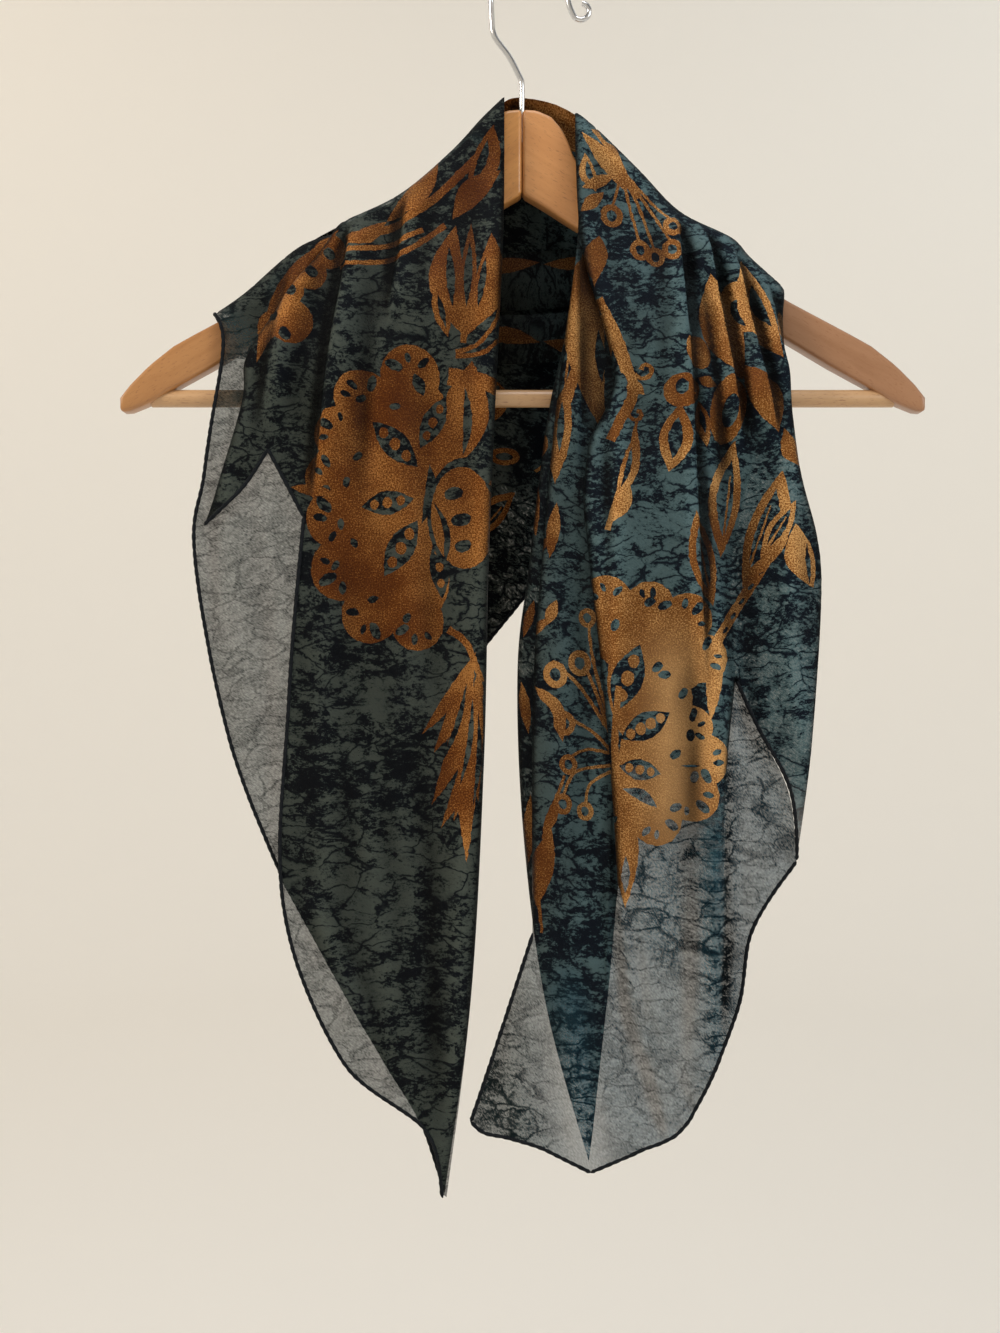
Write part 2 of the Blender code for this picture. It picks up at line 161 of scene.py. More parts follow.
RIGHT_CREASES = (
    Fold((78, -118), (91, -400), 11, 10.5, 0.88),
    Fold((92, -132), (112, -272), 9, 9.5, 0.88),
    Fold((106, -142), (131, -272), 8, 8.5, 0.86),
    Fold((122, -154), (141, -250), 7, 6.0, 0.8),
    Fold((94, -170), (103, -300), 5, -3.4),
    Fold((54, -108), (64, -250), 12, 2.4, 0.4),
    Fold((70, -150), (76, -260), 8, -1.0),
    Fold((62, -250), (58, -520), 20, 6.0),
    Fold((46, -230), (44, -420), 7, 3.0, -0.5),
    Fold((98, -330), (97, -620), 7, 6.5, 0.45),
    Fold((86, -500), (84, -620), 6, -2.0),
    Fold((46, -500), (54, -588), 3.5, -3.4, 0.5),
    Fold((52, -562), (74, -645), 4.5, -3.2, 0.5),
    Fold((112, -300), (118, -440), 9, -3.0),
    Fold((134, -250), (142, -440), 8, 3.0),
    Fold((34, -270), (40, -470), 6, 2.4),
    Fold((12, -330), (12, -520), 9, 2.6),
    Fold((24, -140), (25, -285), 4, 3.0, 0.7),
    Fold((20, -560), (30, -650), 6, 2.4),
    Fold((46, -500), (64, -612), 4, 2.6, 0.6),
    Fold((60, -580), (88, -636), 5, 2.2, 0.5),
    Fold((108, -520), (92, -610), 6, -2.0),
    Fold((-8, -540), (-22, -630), 7, -2.0),
)
BACK_FOLDS = (
    Fold((-90, -190), (-40, -380), 22, -5),
    Fold((60, -170), (0, -350), 20, -5),
    Fold((-20, -120), (-30, -330), 18, 4),
)
BACK_CREASES = (
    Fold((-110, -170), (-60, -340), 7, 2.4),
    Fold((-60, -140), (-38, -300), 7, -2.2),
    Fold((20, -110), (-10, -300), 7, -2.4),
    Fold((80, -160), (30, -290), 7, 2.2),
    Fold((-130, -190), (-100, -300), 6, -2.0),
)


# ---- plain geometry -----------------------------------------------------------------------------------
def smooth_line(points: Sequence[Point], step: float) -> np.ndarray:
    """A smooth line through points, sampled evenly.

    Args:
        points: (x, z) in millimetres, in order.
        step: spacing of the samples in metres.

    Returns:
        An array of (x, z) in metres, both ends kept.
    """
    spots = np.array(points, float) * MM
    padded = np.vstack([spots[:1], spots, spots[-1:]])
    t = np.linspace(0, 1, 12, endpoint=False)[:, None]
    parts = []
    for a, b, c, d in zip(padded, padded[1:], padded[2:], padded[3:]):
        parts.append(0.5 * (2 * b + (c - a) * t + (2 * a - 5 * b + 4 * c - d) * t ** 2
                            + (3 * b - a - 3 * c + d) * t ** 3))
    return even(np.vstack(parts + [spots[-1:]]), step)


def even(line: np.ndarray, step: float) -> np.ndarray:
    """Space a line's points evenly.

    Args:
        line: points (x, z) in metres.
        step: the wanted spacing in metres.

    Returns:
        The same line with its points about a step apart, both ends kept.
    """
    lengths = np.concatenate([[0], np.cumsum(np.linalg.norm(np.diff(line, axis=0), axis=1))])
    count = max(int(round(lengths[-1] / step)), 1)
    want = np.linspace(0, lengths[-1], count + 1)
    return np.column_stack([np.interp(want, lengths, line[:, k]) for k in range(2)])


def distance(spots: np.ndarray, line: np.ndarray) -> np.ndarray:
    """Measure how far spots lie from a line.

    Args:
        spots: points (x, z) in metres.
        line: the line's points, in order.

    Returns:
        The distance of each spot, in metres.
    """
    nearest = np.full(len(spots), 9.0)
    for a, b in zip(line, line[1:]):
        along = b - a
        t = np.clip((spots - a) @ along / max(along @ along, 1e-14), 0, 1)
        nearest = np.minimum(nearest, np.linalg.norm(a + t[:, None] * along - spots, axis=1))
    return nearest


def inside(spots: np.ndarray, outline: np.ndarray) -> np.ndarray:
    """Tell which spots lie inside a closed outline.

    Args:
        spots: points (x, z) in metres.
        outline: its corners, in order.

    Returns:
        True for each spot that lies inside.
    """
    found = np.zeros(len(spots), bool)
    x, z = spots[:, 0], spots[:, 1]
    for a, b in zip(outline, np.roll(outline, -1, axis=0)):
        if a[1] == b[1]:
            continue
        crosses = (a[1] > z) != (b[1] > z)
        found ^= crosses & (x < (b[0] - a[0]) * (z - a[1]) / (b[1] - a[1]) + a[0])
    return found


def box(left: float, bottom: float, right: float, top: float) -> np.ndarray:
    """The outline of an upright box, its sides in millimetres."""
    return np.array(((left, bottom), (right, bottom), (right, top), (left, top))) * MM


def nested(run: Run, drop: float) -> Run:
    """The same run, lower by a drop in millimetres: the layer below nests under the upper one."""
    return tuple((x, z - drop) for x, z in run)


def turned_left(outline: np.ndarray, order: Sequence[int]) -> list[int]:
    """Order a closed outline's points anticlockwise.

    Args:
        outline: its corners, in order.
        order: the corners' numbers.

    Returns:
        The numbers, reversed where the outline ran clockwise.
    """
    x, z = outline[:, 0], outline[:, 1]
    area = np.dot(x, np.roll(z, -1)) - np.dot(z, np.roll(x, -1))
    return list(order) if area > 0 else list(reversed(order))


def smoothstep(value: np.ndarray) -> np.ndarray:
    """Soft step from 0 to 1."""
    t = np.clip(value, 0, 1)
    return t * t * (3 - 2 * t)


def quarter_round(drop: np.ndarray, radius: float) -> np.ndarray:
    """0 at the top of a rounded edge and 1 once it has turned down."""
    t = 1 - np.clip(drop / radius, 0, 1)
    return np.sqrt(1 - t * t)


def fold_rise(folds: Sequence[Fold], spots: np.ndarray) -> np.ndarray:
    """Add up the forward push of folds, each of which fades out over its ends and sides.

    Args:
        folds: the ridges and troughs.
        spots: points (x, z) in metres.

    Returns:
        The push at each spot, in metres.
    """
    push = np.zeros(len(spots))
    for fold in folds:
        start = np.array(fold.start) * MM
        along = np.array(fold.end) * MM - start
        off = spots - start
        t = off @ along / (along @ along)
        aside = (off[:, 1] * along[0] - off[:, 0] * along[1]) / np.linalg.norm(along)
        side = np.sign(aside) * fold.lean
        aside = aside / np.where(side > 0, 1 - np.abs(side), 1 + 0.6 * np.abs(side))
        ends = smoothstep((t + 0.05) / 0.3) * smoothstep((1.05 - t) / 0.3)
        push += fold.rise * MM * ends * np.exp(-(aside / (fold.width * MM)) ** 2)
    return push


def arm_depth(x: np.ndarray) -> np.ndarray:
    """How far the middle of the wood stands forward at x."""
    return -ARM_SWEEP * ((x - CENTRE_X) / HALF_SPAN) ** 2


def ripple(spots: np.ndarray, seed: float, size: float, height: float) -> np.ndarray:
    """A soft uneven ripple of the cloth.

    Args:
        spots: points (x, z) in metres.
        seed: which part of the noise to use.
        size: width of a ripple in metres.
        height: its height in metres.

    Returns:
        A forward push for each spot.
    """
    return np.array([noise.noise(Vector((x / size, seed, 0.45 * z / size))) for x, z in spots]) * height


# ---- motifs of the print ------------------------------------------------------------------------------
class Motif:
    """Draws print motifs as closed shapes, each one painting copper (1) or ground (0) over the last."""

    def __init__(self) -> None:
        """Start with an empty design."""
        self.shapes: list[Paint] = []

    def add(self, outline: np.ndarray, copper: float = 1.0) -> None:
        """Add one closed shape, its edge made slightly rough as printed cloth is.

        Args:
            outline: its corners (x, z) in millimetres.
            copper: 1 to print copper, 0 to cut back to the ground.
        """
        rough = np.array([[noise.noise(Vector((x * 0.45, z * 0.45, k * 7.0))) for k in (1, 2)]
                          for x, z in outline])
        self.shapes.append(((outline + rough * 0.55) * MM, copper))

    def oval(self, x: float, z: float, wide: float, high: float, turn: float = 0.0,
             copper: float = 1.0) -> None:
        """Draw an oval.

        Args:
            x: place across, in millimetres.
            z: height, in millimetres.
            wide: its half width.
            high: its half height.
            turn: its turn in degrees.
            copper: 1 to print copper, 0 to cut back to the ground.
        """
        count = max(int(max(wide, high) * 3.2), 9)
        t = np.linspace(0, 2 * math.pi, count, endpoint=False)
        a = math.radians(turn)
        u, v = wide * np.cos(t), high * np.sin(t)
        self.add(np.column_stack([x + u * math.cos(a) - v * math.sin(a),
                                  z + u * math.sin(a) + v * math.cos(a)]), copper)

    def leaf(self, base: Point, tip: Point, wide: float, bend: float = 0.0, copper: float = 1.0,
             blunt: float = 1.0) -> None:
        """Draw a pointed leaf or petal.

        Args:
            base: where it starts, (x, z) in millimetres.
            tip: where it ends.
            wide: its half width.
            bend: how far its middle bows to the left.
            copper: 1 to print copper, 0 to cut back to the ground.
            blunt: below 1 the base is the fuller end, above 1 the tip is.
        """
        b, t = np.array(base, float), np.array(tip, float)
        along = t - b
        long = np.linalg.norm(along)
        side = np.array([-along[1], along[0]]) / long
        count = max(int(long / 1.6), 7)
        s = np.linspace(0, 1, count + 1)
        half = wide * np.sin(math.pi * s ** blunt)
        middle = b + s[:, None] * along + (bend * np.sin(math.pi * s))[:, None] * side
        left = middle + half[:, None] * side
        right = middle - half[:, None] * side
        self.add(np.vstack([left, right[-2:0:-1]]), copper)

    def stem(self, points: Sequence[Point], wide: float, end_wide: Optional[float] = None,
             copper: float = 1.0) -> None:
        """Draw a stem.

        Args:
            points: what it runs through, (x, z) in millimetres.
            wide: its half width at the start.
            end_wide: its half width at the end, where that differs.
            copper: 1 to print copper, 0 to cut back to the ground.
        """
        line = smooth_line(points, 2.2 * MM) / MM
        ahead = np.gradient(line, axis=0)
        ahead /= np.maximum(np.linalg.norm(ahead, axis=1), 1e-9)[:, None]
        side = np.column_stack([-ahead[:, 1], ahead[:, 0]])
        half = np.linspace(wide, wide if end_wide is None else end_wide, len(line))[:, None]
        self.add(np.vstack([line + side * half, (line - side * half)[::-1]]), copper)

    def berry(self, x: float, z: float, radius: float, stem: Sequence[Point] = ()) -> None:
        """Draw a looped berry, a ring with a dark heart.

        Args:
            x: place across, in millimetres.
            z: height, in millimetres.
            radius: its radius.
            stem: what its stem runs through on the way to it.
        """
        if stem:
            self.stem([*stem, (x, z + radius * 0.6)], 0.95, 0.7)
        self.oval(x, z, radius * 0.85, radius, 15)
        self.oval(x, z, radius * 0.38, radius * 0.5, 15, 0.0)

    def lobes(self, heart: Point, rows: Sequence[tuple[float, float, float]]) -> None:
        """Scalloped petals round a heart, with small cut-outs along their rims.

        Args:
            heart: middle of the flower.
            rows: for each petal its direction in degrees, its distance from the heart and its radius.
        """
        for direction, away, radius in rows:
            a = math.radians(direction)
            x, z = heart[0] + away * math.cos(a), heart[1] + away * math.sin(a)
            self.leaf(heart, (x + 0.4 * radius * math.cos(a), z + 0.4 * radius * math.sin(a)), radius * 0.95,
                      blunt=1.5)
            self.oval(x, z, radius, radius * 0.92, direction)
        for i, (direction, away, radius) in enumerate(rows):
            a = math.radians(direction)
            x, z = heart[0] + away * math.cos(a), heart[1] + away * math.sin(a)
            for k, off in enumerate((-0.95, -0.1, 0.8)):
                c = a + off + 0.13 * math.sin(5 * i + 3 * k)
                size = radius * (0.16 + 0.05 * math.sin(2.1 * i + 4 * k))
                self.oval(x + 0.60 * radius * math.cos(c), z + 0.60 * radius * math.sin(c), size * 0.75,
                          size * 1.35, math.degrees(c) + 90 + 12 * math.sin(i + k), 0.0)

    def almond(self, base: Point, tip: Point, wide: float, dots: int = 3) -> None:
        """Draw an almond cut-out with a row of copper dots down its middle.

        Args:
            base: where it starts, (x, z) in millimetres.
            tip: where it ends.
            wide: its half width.
            dots: how many dots.
        """
        self.leaf(base, tip, wide, copper=0.0)
        for k in range(dots):
            s = (k + 1) / (dots + 1)
            x = base[0] + (tip[0] - base[0]) * s
            z = base[1] + (tip[1] - base[1]) * s
            size = wide * 0.42 * math.sin(math.pi * (0.2 + 0.6 * s))
            self.oval(x, z, size, size * 1.15)

    def tulip(self, base: Point, tip: Point, wide: float) -> None:
        """Draw a tulip bud: two cupped outer petals round a slim inner one, with cut-out veins.

        Args:
            base: where it starts, (x, z) in millimetres.
            tip: where it ends.
            wide: the bud's half width.
        """
        b, t = np.array(base, float), np.array(tip, float)
        along = (t - b) / np.linalg.norm(t - b)
        side = np.array([-along[1], along[0]])
        self.leaf(base, tuple(t + side * wide * 0.55), wide * 0.62, wide * 0.5)
        self.leaf(base, tuple(t - side * wide * 0.75 - along * wide * 0.3), wide * 0.58, -wide * 0.45)
        self.leaf(base, tuple(t + along * wide * 0.1), wide * 0.30)
        inner = b + (t - b) * 0.25
        self.leaf(tuple(inner + side * wide * 0.5), tuple(b + (t - b) * 0.8 + side * wide * 0.75),
                  wide * 0.16, copper=0.0)
        self.leaf(tuple(inner), tuple(b + (t - b) * 0.86), wide * 0.15, copper=0.0)
        self.leaf(tuple(inner - side * wide * 0.42), tuple(b + (t - b) * 0.7 - side * wide * 0.6),
                  wide * 0.13, copper=0.0)

    def vein_leaf(self, base: Point, tip: Point, wide: float, bend: float = 0.0) -> None:
        """Draw a leaf as an outline with a copper midrib.

        Args:
            base: where it starts, (x, z) in millimetres.
            tip: where it ends.
            wide: its half width.
            bend: how far its middle bows to the left.
        """
        self.leaf(base, tip, wide, bend)
        b, t = np.array(base, float), np.array(tip, float)
        self.leaf(tuple(b + (t - b) * 0.16), tuple(b + (t - b) * 0.84), wide * 0.52, bend * 0.8, 0.0)
        self.stem([tuple(b + (t - b) * 0.1), tuple(b + (t - b) * 0.7)], 0.7, 0.4)

    def scroll(self, x: float, z: float, size: float, turn: float) -> None:
        """Draw a small curled tendril that ends in a hook.

        Args:
            x: place across, in millimetres.
            z: height, in millimetres.
            size: radius of its widest turn.
            turn: direction of its start, in degrees.
        """
        points = []
        for k in range(9):
            a = math.radians(turn + 42 * k)
            r = size * (1.0 - 0.085 * k)
            points.append((x + r * math.cos(a), z + r * math.sin(a)))
        self.stem(points, size * 0.17, size * 0.26)


def left_design() -> Motif:
    """The large scalloped flower of the left tail, its buds above and its jagged leaves below.

    Returns:
        The print.
    """
    m = Motif()
    # scalloped petals along the collar fold
    for x, z, r in ((-139, -204, 9), (-130, -188, 9), (-119, -176, 9), (-109, -163, 9), (-127, -205, 11)):
        m.oval(x, z, r, r * 1.1)
    m.leaf((-104, -150), (-146, -226), 8, -6)
    for x, z in ((-138, -200), (-128, -187), (-118, -175), (-109, -164), (-130, -212)):
        m.oval(x, z, 3.0, 4.0, 35, 0.0)
    # branches over the shoulder
    m.stem([(-18, -100), (-34, -116), (-52, -134), (-76, -150), (-100, -156)], 2.6, 2.0)
    m.leaf((-50, -108), (-78, -146), 6.5, 4)
    m.leaf((-78, -146), (-100, -160), 4.4, 2)
    m.stem([(-58, -152), (-80, -161), (-104, -164)], 1.5)
    m.stem([(-46, -150), (-74, -168), (-103, -172)], 1.8, 1.2)
    m.leaf((-20, -92), (-34, -132), 7.5, 3)
    m.leaf((-23, -100), (-31, -124), 2.6, 1, 0.0)
    m.leaf((-16, -118), (-42, -146), 7, -3)
    # tulip, small bud and their stems
    m.stem([(-36, -216), (-33, -196), (-31, -186)], 1.6)
    m.tulip((-35, -213), (-32, -150), 15)
    m.leaf((-44, -213), (-51, -184), 4.6)
    m.leaf((-45, -208), (-49.5, -190), 1.7, 0, 0.0)
    m.stem([(-40, -221), (-28, -217), (-19, -205), (-15, -190)], 1.3, 0.8)
    m.stem([(-40, -223), (-26, -222), (-17, -214)], 1.4, 1.0)
    # the flower
    heart = (-52.0, -297.0)
    m.lobes(heart, ((101, 64, 17), (126, 62, 16), (147, 58, 15), (170, 52, 17), (193, 50, 19),
                    (219, 60, 19), (242, 70, 17), (263, 68, 15)))
    m.leaf((-50, -292), (-31, -226), 13, -4, blunt=1.2)
    m.stem([(-44, -234), (-30, -236), (-17, -240)], 4.6, 4.2)
    m.oval(-66, -296, 30, 44)
    m.almond((-59, -272), (-45, -244), 6.0)
    m.almond((-60, -282), (-84, -258), 7.0)
    m.almond((-62, -299), (-90, -303), 6.4)
    m.almond((-60, -310), (-78, -340), 7.2)
    m.almond((-50, -318), (-47, -352), 5.4)
    m.leaf((-35, -240), (-36, -276), 2.4, 2, 0.0)
    m.leaf((-62, -232), (-57, -244), 3.2, 0, 0.0)
    m.leaf((-48, -226), (-44, -236), 2.2, 0, 0.0)
    m.leaf((-54, -280), (-58, -312), 3.4, 3, 0.0)
    for x, z, turn in ((-92, -276, 40), (-98, -290, 80), (-94, -322, 120), (-84, -352, 20), (-66, -362, 60),
                       (-72, -250, 10), (-90, -246, 30), (-101, -312, 90), (-104, -334, 60)):
        m.oval(x, z, 3.0, 1.9, turn, 0.0)
    # rounded inner petal with its fringe
    m.oval(-34, -309, 21.0, 32.0, 4, 0.0)
    m.leaf((-18, -262), (-22, -296), 8.0, 0, 0.0)
    m.leaf((-20, -322), (-22, -372), 7.0, 0, 0.0)
    m.oval(-36, -309, 17.0, 27.0, 4)
    for x, z, wide in ((-41, -296, 5.2), (-37, -310, 5.4), (-36, -324, 4.6)):
        m.oval(x, z, wide, 3.4, 12, 0.0)
    m.leaf((-52, -300), (-47, -336), 1.8, 5, 0.0)
    for k in range(7):
        z = -290 - 6.2 * k
        m.stem([(-22, z), (-14 - 0.5 * k, z - 3.0)], 1.2, 0.5)
    # small leaf behind the flower
    m.leaf((-128, -292), (-104, -296), 3.2)
    # palm leaves under the flower
    for base, tip, wide, bend in (((-30, -382), (-52, -434), 4.6, 3), ((-32, -386), (-53, -462), 5.4, 5),
                                  ((-28, -388), (-41, -470), 4.8, 3), ((-27, -392), (-34, -492), 5.4, -3),
                                  ((-26, -392), (-28, -460), 3.6, -2), ((-29, -380), (-58, -424), 3.4, 2),
                                  ((-30, -420), (-48, -474), 3.6, 3)):
        m.leaf(base, tip, wide, bend)
    for base, tip in (((-34, -396), (-48, -440)), ((-31, -404), (-38, -452)), ((-28, -412), (-31, -462))):
        m.leaf(base, tip, 1.5, 2, 0.0)
    m.stem([(-44, -368), (-34, -376), (-26, -396)], 2.0, 1.4)
    return m


def right_design() -> Motif:
    """The berries, buds and two-part flower of the right tail.

    Returns:
        The print.
    """
    m = Motif()
    # berry spray over the shoulder
    top = (50, -118)
    m.stem([(36, -92), (44, -104), top, (58, -134)], 3.4, 1.6)
    for x, z, r, way in ((44, -144, 7.0, (47, -130)), (59, -164, 6.4, (54, -140)),
                         (67, -168, 6.0, (60, -142)), (76, -164, 6.2, (66, -142)),
                         (77, -150, 6.0, (66, -136))):
        m.berry(x, z, r, [top, way])
    m.leaf((28, -96), (52, -130), 4.4, 2)
    m.leaf((30, -108), (36, -130), 4.6, -2)
    m.leaf((31, -112), (35, -126), 1.8, -1, 0.0)
    m.leaf((28, -128), (46, -120), 3.6)
    m.leaf((27, -142), (40, -130), 3.8)
    m.leaf((38, -94), (46, -102), 2.2, 0, 0.0)
    # drop bud by the collar
    m.leaf((34, -186), (37, -156), 6.4, 1, blunt=1.35)
    # scrolls under it
    m.stem([(38, -200), (45, -214), (50, -228), (54, -243), (47, -258), (42, -268)], 3.8, 2.6)
    m.stem([(36, -192), (42, -208), (41, -226)], 2.2, 1.4)
    m.scroll(60, -231, 5.4, 200)
    m.scroll(56, -254, 4.8, 120)
    m.leaf((52, -236), (60, -244), 3.0)
    m.oval(49, -236, 1.8, 4.2, 20, 0.0)
    # small flower of almond petals
    m.oval(79, -243, 9.5, 9.0)
    m.oval(79, -241, 3.4, 4.2, 0, 0.0)
    m.oval(88, -222, 6.5, 9.5, 20)
    m.leaf((78, -250), (72, -286), 8.6, 1)
    m.leaf((77, -257), (74, -279), 3.8, 0, 0.0)
    m.leaf((88, -248), (93, -272), 4.0)
    m.leaf((89, -252), (92, -265), 1.6, 0, 0.0)
    m.leaf((88, -236), (98, -240), 3.0)
    # leaf pair
    m.stem([(40, -316), (46, -296), (52, -276), (56, -258)], 1.5, 1.1)
    m.leaf((44, -303), (56, -262), 4.6, -2)
    m.leaf((42, -312), (52, -292), 4.4, -1)
    m.leaf((47, -294), (53, -272), 1.5, -1, 0.0)
    # large prints over the pleats of the shoulder
    m.leaf((96, -178), (112, -236), 11, -3)
    m.oval(113, -196, 10, 15, 24)
    m.oval(112, -199, 4.2, 8, 24, 0.0)
    m.leaf((114, -168), (134, -224), 9, -4)
    m.leaf((119, -182), (129, -206), 3.2, -2, 0.0)
    m.oval(104, -252, 9.5, 18, -10)
    m.oval(105, -253, 4.0, 8.5, -10, 0.0)
    m.leaf((112, -228), (131, -264), 9, 3)
    m.leaf((134, -196), (141, -222), 4.8)
    m.leaf((134, -262), (146, -282), 5.2, -3)
    # outlined leaves on the braided stem
    m.stem([(84, -396), (98, -374), (114, -350), (128, -326), (136, -310)], 3.0, 2.4)
    for k in range(9):
        s = k / 9
        m.oval(88 + 44 * s, -392 + 70 * s, 2.3, 1.0, 52, 0.0)
    m.vein_leaf((101, -330), (108, -268), 8.6, 2)
    m.vein_leaf((113, -346), (133, -284), 10.5, -3)
    m.vein_leaf((96, -356), (86, -306), 7.5, 1)
    m.vein_leaf((122, -330), (140, -300), 5.6)
    m.leaf((140, -312), (150, -346), 8.2, -3)
    m.leaf((146, -322), (148, -344), 1.4, 0, 0.0)
    m.leaf((98, -372), (94, -416), 4.2)
    # the two-part flower
    heart = (50.0, -398.0)
    m.lobes(heart, ((104, 44, 15.5), (74, 42, 14.5), (48, 46, 15), (20, 42, 14)))
    low = (58.0, -430.0)
    m.lobes(low, ((22, 26, 13), (-12, 32, 15), (-44, 36, 15), (-78, 38, 15), (-108, 34, 13)))
    m.oval(56, -404, 15, 30, 12)
    m.oval(72, -406, 13, 17, 0)
    m.oval(66, -436, 20, 24, 0)
    m.almond((44, -412), (57, -376), 8.4, 3)
    m.almond((47, -426), (73, -412), 7.0, 4)
    m.almond((46, -440), (68, -444), 5.6, 3)
    m.leaf((48, -452), (66, -462), 3.0, 2, 0.0)
    for x, z, turn in ((80, -402, 60), (84, -424, 90), (86, -446, 80), (66, -388, 40), (62, -354, 30),
                       (44, -366, 70), (76, -462, 20), (70, -392, 0), (76, -434, 30)):
        m.oval(x, z, 3.4, 2.3, turn, 0.0)
    m.stem([(46, -398), (44, -430), (47, -462), (50, -470)], 1.6, 2.2)
    # long drop bud
    m.leaf((50, -462), (50, -516), 6.6, 0, blunt=0.78)
    m.leaf((50, -488), (50, -508), 2.2, 0, 0.0)
    return m


def under_right_design() -> Motif:
    """What shows of the layer under the right tail: collar leaves, berries on tendrils and small leaves.

    Returns:
        The print.
    """
    m = Motif()
    m.leaf((31, -150), (16, -262), 5.2, 3)
    m.leaf((27, -176), (19, -236), 1.9, 2, 0.0)
    m.leaf((19, -236), (13, -290), 6.4, -1)
    m.leaf((17, -246), (15, -274), 1.9, 0, 0.0)
    m.leaf((28, -168), (40, -266), 11, -5, blunt=0.7)
    m.leaf((36, -208), (38, -236), 2.6, 0, 0.0)
    m.leaf((14, -300), (10, -330), 3.6)
    m.stem([(44, -426), (30, -404), (20, -392)], 1.0, 0.7)
    m.berry(13, -392, 7.4, [(40, -420), (26, -398)])
    m.berry(26, -386, 7.0, [(42, -424), (34, -400)])
    m.berry(30, -362, 5.4, [(40, -412), (33, -384)])
    m.berry(18, -418, 6.8, [(42, -432), (32, -422)])
    m.berry(20, -440, 5.6, [(44, -434), (30, -432)])
    m.berry(17, -461, 5.8, [(44, -440), (24, -444)])
    m.berry(29, -465, 5.2, [(45, -442), (32, -450)])
    m.leaf((2, -398), (17, -428), 4.6, 4)
    m.leaf((3, -404), (12, -422), 1.6, 2, 0.0)
    m.stem([(8, -478), (12, -462), (18, -446)], 1.3, 0.8)
    m.leaf((3, -516), (11, -474), 6.2, 1)
    m.leaf((6, -480), (14, -456), 3.0, -1)
    m.leaf((0, -330), (10, -318), 2.8)
    m.leaf((8, -366), (14, -352), 3.2)
    m.leaf((-1, -372), (9, -362), 2.6)
    m.stem([(4, -512), (6, -530)], 1.0, 0.6)
    return m


def pleat_design() -> Motif:
    """What shows of the inner pleat.

    Returns:
        The print.
    """
    m = Motif()
    m.leaf((8, -222), (4, -262), 4.2, 1)
    m.oval(5, -268, 4.4, 7.0)
    m.oval(5, -268, 1.6, 2.8, 0, 0.0)
    m.leaf((0, -276), (3, -318), 3.4)
    m.leaf((-4, -372), (2, -352), 2.6)
    m.leaf((-5, -396), (-1, -424), 2.8)
    m.leaf((-3, -500), (0, -456), 3.2)
    return m


def back_design() -> Motif:
    """The print of the back: the band behind the neck and a few large flowers further down.

    Returns:
        The print.
    """
    m = Motif()
    m.oval(8, -80, 40, 10, -28)
    m.leaf((2, -96), (30, -130), 8.0, 3)
    heart = (-60.0, -236.0)
    m.lobes(heart, ((90, 34, 15), (135, 36, 15), (180, 36, 15), (225, 36, 15), (270, 36, 15), (315, 34, 14),
                    (0, 34, 14), (45, 34, 14)))
    m.almond((-60, -226), (-60, -204), 5)
    m.almond((-52, -242), (-36, -252), 5)
    m.almond((-70, -242), (-84, -256), 5)
    m.oval(-60, -238, 6, 6, 0, 0.0)
    m.stem([(-40, -270), (-30, -310), (-34, -352), (-42, -380)], 2.2, 1.2)
    m.vein_leaf((-32, -316), (-8, -288), 7.5, 2)
    m.vein_leaf((-33, -334), (-58, -312), 7.5, -2)
    m.tulip((34, -236), (62, -186), 14)
    m.stem([(34, -238), (20, -262), (4, -276)], 1.8, 1.0)
    m.vein_leaf((22, -258), (40, -262), 5.5, 1)
    m.berry(96, -196, 6, [(72, -176), (86, -182)])
    m.berry(104, -182, 6, [(72, -174), (90, -174)])
    m.berry(84, -208, 6, [(70, -180), (78, -192)])
    m.leaf((-130, -176), (-112, -230), 9, 3)
    m.leaf((-126, -190), (-117, -218), 3.4, 2, 0.0)
    m.vein_leaf((-106, -170), (-80, -168), 7, 2)
    m.oval(-14, -268, 9, 5, 0)
    m.oval(-14, -268, 5, 2.2, 0, 0.0)
    return m


